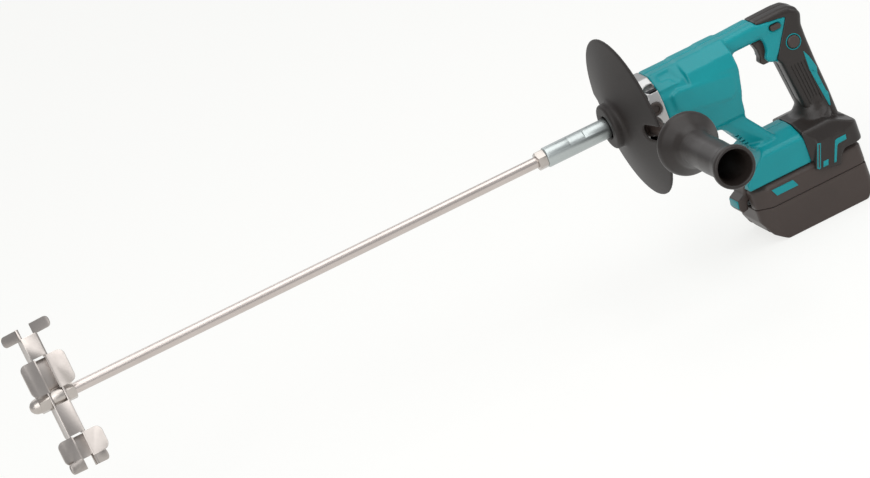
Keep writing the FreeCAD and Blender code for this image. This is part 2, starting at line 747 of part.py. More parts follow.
def motor():
    """Brushless motor: rotor, fan, stator, coils, board and bearings."""
    r = S.motor_shaft_radius
    rear = S.motor_rear_brg_start
    pinion = gear("motor_pinion", S.pinion_teeth, S.fine_module, S.pinion_start, S.pinion_long, AXIS,
                  tooth_up=(SIZES["pinion_teeth"] % 2 == 0))
    shaft = spun("motor_bar", "X", [
        (rear, 0), (rear, r - 0.5), (rear + 0.5, r), (S.pinion_start - 1.0, r),
        (S.pinion_start - 0.2, 2.4), (S.pinion_start + S.pinion_long, 2.4), (S.pinion_start + S.pinion_long, 0)],
        z=AXIS)
    keep(fuse("rotor_shaft", [pinion, shaft]), "rotor_shaft")
    keep(ring("rotor_core", S.stator_start, S.stator_long, S.rotor_radius, r), "rotor_core")
    keep(ring("motor_bearing_front", S.motor_front_brg_start, S.motor_front_brg_long, S.motor_front_brg_radius,
              r + S.run_gap), "motor_bearing_front")
    keep(ring("motor_bearing_rear", rear, S.motor_rear_brg_long, S.motor_rear_brg_radius, r + S.run_gap),
         "motor_bearing_rear")
    fan_disc = spun("fan_disc", "X", [
        (S.fan_start, r), (S.fan_start, 8.0), (S.fan_start + S.fan_long - 1.6, 11.0),
        (S.fan_start + S.fan_long - 1.6, S.fan_radius), (S.fan_start + S.fan_long, S.fan_radius),
        (S.fan_start + S.fan_long, r)], z=AXIS)
    vanes = new_body("fan_vanes", 0, 0, AXIS)
    vane = outline(vanes, "YZ_Plane", [
        (-0.7, 9.0), (0.7, 9.0), (4.5, S.fan_radius - 1.5), (3.0, S.fan_radius - 1.0)], S.fan_start + 1.0)
    feature = pad(vanes, vane, S.fan_long - 1.5)
    pattern = vanes.newObject("PartDesign::PolarPattern", "fan_ring")
    pattern.Originals = [feature]
    pattern.Axis = (vane, ["N_Axis"])
    pattern.Angle = 360
    bind(pattern, "Occurrences", S.fan_blades)
    vanes.Tip = pattern
    doc.recompute()
    keep(fuse("cooling_fan", [fan_disc, vanes]), "cooling_fan")
    stator = new_body("stator", 0, 0, AXIS)
    pad(stator, circle(stator, "YZ_Plane", S.stator_radius, S.stator_start), S.stator_long)
    pocket(stator, circle(stator, "YZ_Plane", S.stator_inner, S.stator_start), S.stator_long, back=True)
    low, high = S.coil_inner, S.stator_radius - S.stator_yoke
    half = S.tooth_wide / 2
    slot = outline(stator, "YZ_Plane", [
        (low * 0.866 - half * 0.5 + 0.35, low * 0.5 + half * 0.866 + 0.2), (high * 0.866 - half * 0.5, high * 0.5 + half * 0.866),
        (high * 0.5 + 1.6, high * 0.866 - 1.0), (half, high), (half, low + 0.4), (low * 0.5, low * 0.866)],
        S.stator_start)
    feature = pocket(stator, slot, S.stator_long, back=True)
    pattern = stator.newObject("PartDesign::PolarPattern", "stator_slots")
    pattern.Originals = [feature]
    pattern.Axis = (slot, ["N_Axis"])
    pattern.Angle = 360
    pattern.Occurrences = 6
    stator.Tip = pattern
    doc.recompute()
    keep(stator, "stator")
    coils = []
    for i in range(6):
        turn = Rotation(Vector(1, 0, 0), 60.0 * i)
        side = half + S.coil_side
        block = new_body("coil_%d" % i, 0, 0, AXIS, turn)
        sketch = outline(block, "XY_Plane", [
            (S.stator_start - S.coil_over, -side), (S.stator_start + S.stator_long + S.coil_over, -side),
            (S.stator_start + S.stator_long + S.coil_over, side), (S.stator_start - S.coil_over, side)],
            low + 0.9)
        pad(block, sketch, high - low - 2.8)
        dress(block, "Fillet", S.coil_side * 0.9, along(2))
        inner = half + 0.15
        hole = outline(block, "XY_Plane", [
            (S.stator_start - 0.3, -inner), (S.stator_start + S.stator_long + 0.3, -inner),
            (S.stator_start + S.stator_long + 0.3, inner), (S.stator_start - 0.3, inner)], low)
        pocket(block, hole, high - low, back=True)
        coils.append(block)
    keep(group("stator_coils", coils), "stator_coils")
    keep(ring("sensor_board", S.board_start, S.board_thick, S.stator_radius - 1.5, S.rotor_radius - 3, bevel=0.2),
         "sensor_board")


def section(lift, tuck, both=False):
    """Corners of the barrel section about the shaft, left half or whole."""
    top = AXIS + S.barrel_top + lift
    side = S.barrel_half
    half = [(S.barrel_flat, top), (side - 5 - tuck, AXIS + S.barrel_top - 11 + lift - tuck * 0.5),
            (side - tuck * 0.6, AXIS + 12), (side, AXIS - 16), (side - 7, AXIS - 42),
            (side - 20, AXIS - S.barrel_chin)]
    if both:
        return half + [(-y, z) for y, z in reversed(half)]
    return [(0, top)] + half + [(0, AXIS - S.barrel_chin)]


def case_screw_places():
    """Side and height of the four gear housing screws."""
    return [(side * s, AXIS + h) for side in (1, -1)
            for s, h in ((S.case_screw_high_side, S.case_screw_high), (S.case_screw_low_side, -S.case_screw_low))]


def gear_case():
    """Cast gear housing, bearing cover, screws and plug."""
    block = new_body("gear_block")
    pad(block, outline(block, "YZ_Plane", section(0, 0, True), S.joint_plane),
        S.gear_block_front - S.joint_plane)
    dress(block, "Chamfer", 7.0, on_side(0, S.gear_block_front))
    nose = spun("gear_nose", "X", [
        (S.gear_block_front - 12, 0), (S.gear_block_front - 12, 34), (S.gear_block_front - 4, 34),
        (S.gear_block_front + 3, 27), (S.gear_block_front + 3, S.gear_nose_radius),
        (S.gear_nose_front - 1, S.gear_nose_radius), (S.gear_nose_front, S.gear_nose_radius - 1),
        (S.gear_nose_front, 0)], z=AXIS)
    grip_z = AXIS - S.grip_drop
    bosses = [rod("grip_boss_left", "Y", S.grip_boss_radius, 20, S.grip_forward, S.grip_boss_side - 20, grip_z),
              rod("grip_boss_right", "Y", S.grip_boss_radius, 20, S.grip_forward, -S.grip_boss_side, grip_z)]
    solid = fuse("gear_case_solid", [block, nose] + bosses)
    seat = S.seat_gap
    hollow = spun("gear_hollow", "X", [
        (S.joint_plane - 1, 0), (S.joint_plane - 1, S.gear_cavity_radius), (S.gear_cavity_front, S.gear_cavity_radius),
        (S.gear_cavity_front, S.rear_brg_radius - 3), (S.rear_brg_start - seat, S.rear_brg_radius - 3),
        (S.rear_brg_start - seat, S.rear_brg_radius + seat), (S.rear_brg_start + S.rear_brg_long + seat, S.rear_brg_radius + seat),
        (S.rear_brg_start + S.rear_brg_long + seat, S.journal_front_radius + 3.5),
        (S.front_brg_start - seat, S.journal_front_radius + 3.5), (S.front_brg_start - seat, S.front_brg_radius + seat),
        (S.gear_nose_front + 1, S.front_brg_radius + seat), (S.gear_nose_front + 1, 0)], z=AXIS)
    tools = [
        hollow,
        rod("lay_hollow", "X", S.lay_cavity_radius, S.gear_cavity_front - S.joint_plane + 1, S.joint_plane - 1, 0, LAY),
        rod("lay_seat", "X", S.lay_brg_radius + seat, S.lay_brg_long + 2.4, S.gear_cavity_front - 1, 0, LAY),
        rod("plug_hole", "Y", S.plug_radius - 1.5, 8, S.plug_forward, S.barrel_half - 6, AXIS + S.plug_rise),
        rod("plug_seat", "Y", S.plug_radius + S.part_gap, 6, S.plug_forward, S.barrel_half - 1.5, AXIS + S.plug_rise),
        rod("stud_hole_left", "Y", S.stud_radius + S.thread_gap, 20, S.grip_forward, S.stud_inner_side, grip_z),
        rod("stud_hole_right", "Y", S.stud_radius + S.thread_gap, 20, S.grip_forward, -S.stud_inner_side - 20, grip_z),
    ]
    screws = []
    head_x = S.joint_plane + 14
    for i, (y, z) in enumerate(case_screw_places()):
        tools.append(rod("case_hole_%d" % i, "X", S.case_screw_radius + S.part_gap, 60, S.joint_plane - 10, y, z))
        tools.append(rod("case_well_%d" % i, "X", S.case_screw_head + 0.6, 40, head_x, y, z))
        out = S.case_screw_head + 0.6
        y0 = y if i < 2 else y - 14
        tools.append(slab("case_side_%d" % i, head_x, head_x + 40, y0, y0 + 14, z - out, z + out))
        shank = rod("case_shank_%d" % i, "X", S.case_screw_radius, 34, head_x - 34, y, z)
        head = rod("case_head_%d" % i, "X", S.case_screw_head, 4, head_x, y, z)
        socket = hexagon("case_socket_%d" % i, 3.0, head_x + 2, 4, z)
        bind(socket, "Placement.Base.y", y)
        screws.append(cut("case_screw_%d" % i, fuse("case_screw_blank_%d" % i, [shank, head]), [socket]))
    keep(cut("gear_housing", solid, tools), "gear_housing")
    keep(group("gear_housing_screws", screws), "gear_housing_screws")
    plug = spun("side_plug", "Y", [
        (S.barrel_half - 5.5, 0), (S.barrel_half - 5.5, S.plug_radius - 1.7), (S.barrel_half - 1.4, S.plug_radius - 1.7),
        (S.barrel_half - 1.4, S.plug_radius), (S.barrel_half + 0.4, S.plug_radius),
        (S.barrel_half + 1.0, S.plug_radius - 0.6), (S.barrel_half + 1.0, 4.2), (S.barrel_half - 0.4, 3.8),
        (S.barrel_half - 0.4, 0)], x=S.plug_forward, z=AXIS + S.plug_rise)
    keep(plug, "side_plug")
    plate = fuse("gear_cover_plate", [
        rod("cover_disc", "X", S.cover_radius - S.part_gap, S.joint_plane - S.cover_start - 0.1, S.cover_start, 0, AXIS),
        rod("cover_drop", "X", S.lay_cavity_radius - S.part_gap, S.joint_plane - S.cover_start - 0.1, S.cover_start, 0, LAY)])
    bores = [
        rod("cover_bore", "X", S.motor_front_brg_radius + seat, S.joint_plane - S.motor_front_brg_start + 1,
            S.motor_front_brg_start - seat, 0, AXIS),
        rod("cover_shaft_hole", "X", S.motor_front_brg_radius - 3, 30, S.cover_start - 5, 0, AXIS),
        rod("cover_lay_bore", "X", S.lay_brg_radius + seat, S.joint_plane - S.lay_rear_brg_start + 1,
            S.lay_rear_brg_start - seat, 0, LAY)]
    keep(cut("gear_cover", plate, bores), "gear_cover")


def shield():
    """Dished rubber splash shield with a notch for the grip stem on each side."""
    f, rim, t = S.shield_front, S.shield_rim, S.shield_thick
    inner = S.gear_nose_radius
    shape = spun("shield_disc", "X", [
        (f, S.shield_hole), (f, S.shield_collar - 2), (f - 2, S.shield_collar), (f - 9, S.shield_collar),
        (f - 11.5, S.shield_collar + 3), (f - 13, S.shield_collar + 9), (rim + 9, S.shield_radius * 0.65),
        (rim + 2.2, S.shield_radius - 2), (rim + 1.4, S.shield_radius), (rim - 0.6, S.shield_radius),
        (rim - 1.0, S.shield_radius - 2), (rim + 9 - t, S.shield_radius * 0.65),
        (f - 13 - t, S.shield_collar + 9), (f - 13 - t - 3, S.shield_collar + 3.5), (S.gear_block_front + 4, S.shield_collar + 3),
        (S.gear_block_front + 4, inner), (S.gear_nose_front + 0.2, inner), (S.gear_nose_front + 0.2, S.shield_hole)],
        z=AXIS)
    tools = []
    z = AXIS - S.grip_drop
    for word, side in (("left", 1), ("right", -1)):
        y0 = S.notch_depth if side == 1 else -S.notch_depth - 60
        tools.append(slab("notch_%s" % word, rim - 10, rim + 30, y0, y0 + 60, z - S.notch_half, z + S.notch_half))
        tools.append(rod("notch_end_%s" % word, "X", S.notch_half, 40, rim - 10, side * S.notch_depth, z))
    keep(cut("shield", shape, tools), "shield")


def side_grip():
    """Side handle: moulded grip, spacer stem and long stud."""
    x, z = S.grip_forward, AXIS - S.grip_drop
    f, e, tube = S.flange_side, S.grip_end_side, S.grip_tube_radius
    stud = S.stud_radius + S.thread_gap
    floor = S.stud_head_side
    keep(spun("side_grip", "Y", [
        (f, stud), (f, S.flange_radius - 1.5), (f + 1.5, S.flange_radius), (f + 4, S.flange_radius),
        (f + 8, S.flange_radius - 1.5), (f + 19, tube + 5), (f + 27, tube + 1), (f + 40, tube), (e - 52, tube + 0.8),
        (e - 24, tube + 0.3), (e - 14, tube + 1.2), (e - 9, S.grip_ring_radius - 1), (e - 6, S.grip_ring_radius),
        (e - 1.5, S.grip_ring_radius), (e, S.grip_ring_radius - 1.5), (e, S.grip_bore_radius + 3.4),
        (e - 2, S.grip_bore_radius + 2.4), (e - 12, S.grip_bore_radius), (floor, S.grip_bore_radius - 1),
        (floor, stud)], x=x, z=z), "side_grip")
    keep(spun("side_grip_spacer", "Y", [
        (S.grip_boss_side, stud), (S.grip_boss_side, S.stem_root_radius),
        (S.grip_boss_side + S.stem_root_long, S.stem_root_radius),
        (S.grip_boss_side + S.stem_root_long + 2, S.stem_radius), (f, S.stem_radius), (f, stud)], x=x, z=z),
        "side_grip_spacer")
    shank = rod("stud_shank", "Y", S.stud_radius, floor - S.stud_inner_side - 1, x, S.stud_inner_side + 1, z)
    head = doc.addObject("Part::Prism", "stud_head")
    head.Polygon = 6
    head.Circumradius = 7.5
    head.Height = 5.5
    place(head, x, floor, z, TURN_Y)
    keep(fuse("side_grip_stud", [shank, head]), "side_grip_stud")


# corners seen from the side; those above the base are heights over the shaft line
LOOP_OUTLINE = [
    (60.0, AXIS + 36.0), (5.0, AXIS + 38.2), (-30.0, AXIS + 39.0), (-41.0, AXIS + 38.0), (-48.6, AXIS + 33.0),
    (-51.6, AXIS + 25.0), (-48.2, AXIS + 13.5), (-48.4, AXIS - 2.0), (-50.2, AXIS - 30.0), (-53.4, AXIS - 64.0),
    (-55.4, 84.0), (-20.8, 84.0), (-20.8, AXIS - 80.0), (-12.4, AXIS - 18.3), (-7.0, AXIS - 11.0),
    (-5.2, AXIS + 17.4), (33.0, AXIS + 17.0), (41.0, AXIS + 9.0), (62.0, AXIS + 9.0)]
CORE_OUTLINE = [
    (10.0, AXIS + 35.0), (-29.4, AXIS + 35.8), (-39.6, AXIS + 34.8), (-45.8, AXIS + 31.0), (-48.2, AXIS + 24.6),
    (-45.0, AXIS + 13.4), (-45.3, AXIS - 2.0), (-47.1, AXIS - 30.0), (-50.3, AXIS - 64.0), (-52.2, 88.0),
    (-24.0, 88.0), (-23.8, AXIS - 80.0), (-15.4, AXIS - 18.1), (-10.0, AXIS - 10.0), (-8.4, AXIS + 17.4),
    (10.0, AXIS + 17.3)]
DARK_OUTLINE = [
    (6.5, AXIS + 57.0), (1.0, AXIS + 34.8), (-33.0, AXIS + 29.6), (-9.0, AXIS - 9.0), (-12.0, AXIS - 19.0),
    (20.0, AXIS - 28.0), (20.0, 90.0), (-90.0, 90.0), (-90.0, AXIS + 57.0)]
STRUT_OUTLINE = [
    (44.0, AXIS - 24.0), (46.5, AXIS - 51.0), (24.0, AXIS - 81.3), (16.0, 97.0), (47.0, 97.0),
    (56.0, AXIS - 79.5), (70.0, AXIS - 57.0), (86.0, AXIS - 44.0), (98.0, AXIS - 28.0)]
PANEL_OUTLINE = [
    (-10.0, 13.0), (-19.0, 16.0), (-78.0, 7.0), (-82.0, 1.0), (-80.0, -13.0), (-72.0, -19.0), (-20.0, -11.0),
    (-11.0, -5.0)]
SCREW_PLACES = [
    (18.0, AXIS + 28.0), (-36.0, AXIS + 31.5), (-44.0, AXIS - 48.0), (20.0, 98.5),
    (S.joint_plane - 27, AXIS - 41.0), (S.joint_plane - 55, AXIS - 40.0)]


def side_plate(name, points, half, rise=0):
    """A left-hand plate from the middle plane, as wide as half."""
    body = new_body(name)
    pad(body, outline(body, "XZ_Plane", [(x, as_size(z) + rise) for x, z in points]), half, back=True)
    return body


def barrel_half():
    """Left half of the motor barrel in three steps with a raised side panel."""
    spans = [(S.barrel_step_one, S.joint_plane, 0, 3.0), (S.barrel_step_two, S.barrel_step_one, S.barrel_step, 0),
             (S.barrel_rear, S.barrel_step_two, S.barrel_step * 1.8, 0)]
    items = []
    for i, (start, stop, lift, tuck) in enumerate(spans):
        body = new_body("barrel_span_%d" % i)
        pad(body, outline(body, "YZ_Plane", section(lift, tuck), start), stop - start)
        if i == 2:
            # the rear face leans forward below the arm
            low = AXIS - S.barrel_chin - 1
            pocket(body, outline(body, "XZ_Plane", [
                (start - 1, low), (start + S.rear_lean, low), (start + S.rear_lean, AXIS - 27), (start, AXIS + 7),
                (start - 1, AXIS + 7)]), S.barrel_half + 5)
        items.append(body)
    panel = new_body("barrel_panel")
    pad(panel, outline(panel, "XZ_Plane", [(S.joint_plane + x, AXIS + z) for x, z in PANEL_OUTLINE],
                       -S.barrel_half + 6),
        S.panel_proud + 6, back=True)
    dress(panel, "Chamfer", S.panel_proud * 0.8, on_side(1, S.barrel_half + S.panel_proud))
    return items + [panel]


def base_halves():
    """Left half of the base block, and its narrower rear core."""
    base = new_body("base_block")
    half = S.base_half
    pad(base, outline(base, "YZ_Plane", [
        (0, 107.0), (15, 106.0), (half - 4, 99.0), (half, 95.0), (half, S.base_floor), (0, S.base_floor)],
        S.base_split), S.base_front - S.base_split)
    pocket(base, outline(base, "XZ_Plane", [
        (S.base_front, 73.0), (S.base_front + 5, 73.0), (S.base_front + 5, 115.0), (40.0, 115.0), (47.0, 100.0)]),
        half + 5, back=False)
    core = new_body("base_core")
    inner = S.core_half
    pad(core, outline(core, "YZ_Plane", [
        (0, 101.0), (14, 100.0), (inner - 3, 94.0), (inner, 91.0), (inner, S.base_floor), (0, S.base_floor)],
        S.base_cover_rear + 5), S.base_split - S.base_cover_rear - 5)
    pocket(core, outline(core, "XZ_Plane", rear_slope(-4.0)), inner + 5)
    return base, core


def rear_slope(lift):
    """Wedge above the falling roof at the rear of the base."""
    rear = S.base_cover_rear
    return [(rear - 10, 82.0 + lift), (rear, 87.0 + lift), (rear + 44, 108.0 + lift), (rear + 44, 120.0),
            (rear - 10, 120.0)]


def housing():
    """Two handle halves with their soft covers, rear base cover and screws."""
    loop = side_plate("loop_outer", LOOP_OUTLINE, S.arm_half)
    dress(loop, "Fillet", S.arm_round, on_side(1, S.arm_half))
    core = side_plate("loop_core", CORE_OUTLINE, S.arm_half - S.cover_thick)
    dress(core, "Fillet", S.arm_round - S.cover_thick * 0.6, on_side(1, S.arm_half - S.cover_thick))
    dark = side_plate("dark_zone", DARK_OUTLINE, S.arm_half + 10)
    strut = side_plate("strut", STRUT_OUTLINE, S.strut_half)
    dress(strut, "Chamfer", S.strut_bevel, on_side(1, S.strut_half))
    base, base_core = base_halves()
    teal_arm = cut("teal_arm", loop, [dark])
    solid = fuse("housing_solid", [teal_arm, core, strut, base, base_core] + barrel_half())
    seat = S.seat_gap
    motor_room = spun("motor_room", "X", [
        (S.motor_rear_brg_start - seat, 0), (S.motor_rear_brg_start - seat, S.motor_rear_brg_radius + seat),
        (S.motor_rear_brg_start + S.motor_rear_brg_long + 0.2, S.motor_rear_brg_radius + seat),
        (S.motor_rear_brg_start + S.motor_rear_brg_long + 0.2, S.stator_radius - 1),
        (S.stator_start - 2, S.stator_radius - 1), (S.stator_start - 2, S.stator_radius + seat),
        (S.stator_start + S.stator_long + 2, S.stator_radius + seat),
        (S.stator_start + S.stator_long + 6, S.fan_radius + 2.5), (S.cover_start - 0.3, S.fan_radius + 2.5),
        (S.cover_start - 0.3, S.cover_radius), (S.joint_plane + 1, S.cover_radius), (S.joint_plane + 1, 0)], z=AXIS)
    lay_room = rod("lay_room", "X", S.lay_cavity_radius, S.joint_plane - S.cover_start + 1.3, S.cover_start - 0.3,
                   0, LAY)
    switch_room = slab("switch_room", -43.0, -22.0, -12, 12, AXIS - 12, AXIS + 20)
    trigger_room = slab("trigger_room", -22.5, 0, -S.trigger_half - 0.5, S.trigger_half + 0.5,
                        AXIS - 13.5, AXIS + 17.2)
    board_room = slab("board_room", -30.0, 46.0, -32, 32, S.rail_top + 2, 91.0)
    tongue_room = slab("tongue_room", -43.0, -29.0, -14, 14, S.rail_top + 2, 91.0)
    gap = S.slot_gap
    neck_room = slab("neck_room", S.rail_rear - 4, S.base_front + 5, -S.rail_neck - gap, S.rail_neck + gap, 60,
                     S.rail_top)
    head_room = slab("head_room", S.rail_rear - 4, S.base_front + 5, -S.rail_head - gap, S.rail_head + gap,
                     S.rail_step - gap, S.rail_top + gap)
    block_room = slab("block_room", S.rail_rear - 16, S.rail_rear, -20, 20, S.base_floor - 5, 84.0)
    lead_x = S.stator_start - 1.8
    lead_room = slanted_rod("lead_room", 7.0, (lead_x + 1.8, AXIS - 21.8), (lead_x - 26.2, 86.0))
    grip_room = slanted_rod("grip_room", 6.0, (-33.0, AXIS - 10), (-36.0, 84.0))
    bolt_x, bolt_z = S.bolt_long / 2 + S.part_gap, S.bolt_tall / 2 + S.part_gap
    bolt_room = slab("bolt_room", S.bolt_forward - bolt_x, S.bolt_forward + bolt_x, -30, 30,
                     S.bolt_high - bolt_z, S.bolt_high + bolt_z)
    rooms = [motor_room, lay_room, switch_room, trigger_room, board_room, tongue_room, neck_room, head_room,
             block_room, lead_room, grip_room, bolt_room]
    for i, (y, z) in enumerate(case_screw_places()):
        rooms.append(rod("case_thread_%d" % i, "X", S.case_screw_radius + S.thread_gap, 24, S.joint_plane - 22, y, z))
    for i in range(5):
        vent_x, vent_z = 50.0 + 3.6 * i, AXIS - 88.0 + 5.4 * i
        rooms.append(slab("vent_%d" % i, vent_x, vent_x + 2.2, 13, 30, vent_z, vent_z + 8))
    button_room = rod("button_room", "Y", S.button_radius + S.part_gap, 30, S.button_forward, 11, S.button_high)
    screws, holes, wells = [], [], []
    for i, (x, z) in enumerate(SCREW_PLACES):
        holes.append(rod("screw_hole_%d" % i, "Y", S.screw_radius + S.thread_gap, 18.5, x, -9.0, z))
        wells.append(rod("screw_well_%d" % i, "Y", S.screw_head + 0.5, 60, x, -68.0, z))
        shank = rod("screw_shank_%d" % i, "Y", S.screw_radius, 17, x, -8.0, z)
        head = rod("screw_top_%d" % i, "Y", S.screw_head, 2.6, x, -10.6, z)
        screws.append(fuse("screw_%d" % i, [shank, head]))
    tools = fuse("housing_rooms", rooms + holes)
    blank = cut("housing_blank", solid, [tools])
    keep(cut("housing_left", blank, [button_room]), "housing_left")
    twin = mirrored("housing_twin", solid)
    keep(cut("housing_right", cut("housing_right_rooms", twin, [tools]), wells), "housing_right")
    keep(group("housing_screws", screws), "housing_screws")
    skin = cut("cover_skin", common("cover_zone", loop, dark), [core, base_core])
    keep(cut("grip_cover_left", skin, [button_room, bolt_room, trigger_room]), "grip_cover_left")
    keep(cut("grip_cover_right", mirrored("cover_twin", skin), [bolt_room, trigger_room] + wells), "grip_cover_right")
    base_cover(loop, base_core)


def base_cover(loop, base_core):
    """Dark cover round the rear of the base, with ears beside the battery."""
    body = new_body("base_cover_solid")
    half, rear = S.base_cover_half, S.base_cover_rear
    top = [(half - 4, 99.5), (15, 107.0)]
    left = [(half, 95.0), (half, S.base_floor)]
    points = left + [(-y, z) for y, z in reversed(left)] + [(-y, z) for y, z in top] + list(reversed(top))
    pad(body, outline(body, "YZ_Plane", points, rear), S.base_split - rear)
    pocket(body, outline(body, "XZ_Plane", rear_slope(0.0)), half * 3, middle=True)
    dress(body, "Fillet", 12.0, along(2, lambda p: p.x < rear.value + 1))
    ears = []
    for word, side in (("left", 1), ("right", -1)):
        ear = new_body("ear_" + word)
        sketch = outline(ear, "XZ_Plane", [
            (S.base_split, 67.0), (S.base_split, 58.0), (S.base_split - 4, 56.0), (S.base_split - 28, 50.8),
            (S.base_split - 32, 60.0), (S.base_split - 40, 67.0)], -side * (half - 4.2))
        pad(ear, sketch, 4.2, back=(side == 1))
        ears.append(ear)
    solid = fuse("base_cover_joined", [body] + ears)
    gap = S.slot_gap
    tools = [loop, mirrored("loop_twin", loop), base_core, mirrored("core_twin", base_core),
             slab("cover_block_room", S.rail_rear - 16, S.rail_rear, -20, 20, 50, 84.0),
             slab("cover_head_room", S.rail_rear - 4, 5, -S.rail_head - gap, S.rail_head + gap, 50, S.rail_top + gap)]
    keep(cut("base_cover", solid, tools), "base_cover")


def controls():
    """Trigger, switch, spring, lock button and lock bolt."""
    trigger = new_body("trigger_paddle")
    pad(trigger, outline(trigger, "XZ_Plane", [
        (-13.0, AXIS - 10), (-3.0, AXIS - 12.3), (4.0, AXIS - 12.3), (7.0, AXIS - 8.5), (5.0, AXIS - 3),
        (5.4, AXIS + 5), (7.8, AXIS + 12), (11.0, AXIS + 16.4), (-13.0, AXIS + 16.4)]),
        S.trigger_half * 2, middle=True)
    dress(trigger, "Fillet", 2.5, lambda e: on_side(1, S.trigger_half)(e) or on_side(1, -S.trigger_half)(e))
    pull = AXIS + 2
    stem = rod("trigger_stem", "X", 2.0, 18, -30.0, 0, pull)
    keep(fuse("trigger", [trigger, stem]), "trigger")
    switch = slab("switch_body", -42.5, -25.0, -11.5, 11.5, AXIS - 11.5, AXIS + 19.5)
    keep(cut("trigger_switch", switch, [rod("switch_bore", "X", 2.3, 20, -41.0, 0, pull)]), "trigger_switch")
    keep(coil("trigger_spring", 3.4, 0.45, 10.6, 5, -24.3, 0, pull, TURN_X), "trigger_spring")
    keep(spun("lock_button", "Y", [
        (14.2, 0), (14.2, S.button_radius), (S.arm_half + 0.6, S.button_radius),
        (S.arm_half + 1.6, S.button_radius - 1.2), (S.arm_half + 1.2, 0)], x=S.button_forward, z=S.button_high), "lock_button")
    bolt = new_body("lock_bolt", S.bolt_forward, 0, S.bolt_high)
    a, b = S.bolt_long / 2, S.bolt_tall / 2
    pad(bolt, outline(bolt, "XZ_Plane", [(-a, -b), (a, -b), (a, b), (-a, b)], -S.arm_half - 2),
        S.arm_half * 2 + 2, back=False)
    dress(bolt, "Fillet", b * 0.96, along(1))
    keep(bolt, "lock_bolt")


def electrics():
    """Controller, terminal block and motor leads in the base."""
    board = [slab("board_main", -28.0, 42.0, -30, 30, S.rail_top + 3, 89.0),
             slab("board_tongue", -41.0, -27.0, -12, 12, S.rail_top + 3, 89.0)]
    keep(fuse("controller", board), "controller")
    lead_x = S.stator_start - 1.8
    keep(group("motor_leads", [
        slanted_rod("motor_lead_%d" % i, S.lead_radius, (lead_x, AXIS - 27.4), (lead_x - 24.8, 89.6), y)
        for i, y in enumerate((-4.0, 0.0, 4.0))]), "motor_leads")
    keep(group("switch_leads", [
        slanted_rod("switch_lead_%d" % i, S.lead_radius, (-33.05, AXIS - 11.6), (-35.84, 89.1), y)
        for i, y in enumerate((-3.0, 3.0))]), "switch_leads")
    block = slab("block_body", S.rail_rear - 14, S.rail_rear - 4.5, -18, 18, 68.0, 83.0)
    blades = [slab("blade_%d" % i, S.rail_rear - 6, S.rail_rear + 9, y - 0.6, y + 0.6, 70.5, 75.5)
              for i, y in enumerate((-12.0, 12.0))]
    keep(fuse("terminal_block", [block] + blades), "terminal_block")


PACK_SCREWS = [(-52.0, 31.0), (-52.0, -31.0), (65.0, 24.0), (65.0, -24.0)]


def label_plate(name, side, grow, thick):
    """A slanted plate let into one side of the upper battery case."""
    body = new_body(name)
    face = S.battery_half + 0.3
    points = [(24.0 - grow, 50.0 - grow), (50.0 + grow, 50.0 - grow), (54.0 + grow, 58.0 + grow), (28.0 - grow, 58.0 + grow)]
    depth = face - 0.8 if side == 1 else -face + 0.8
    pad(body, outline(body, "XZ_Plane", points, -depth), thick, back=(side == 1))
    return body


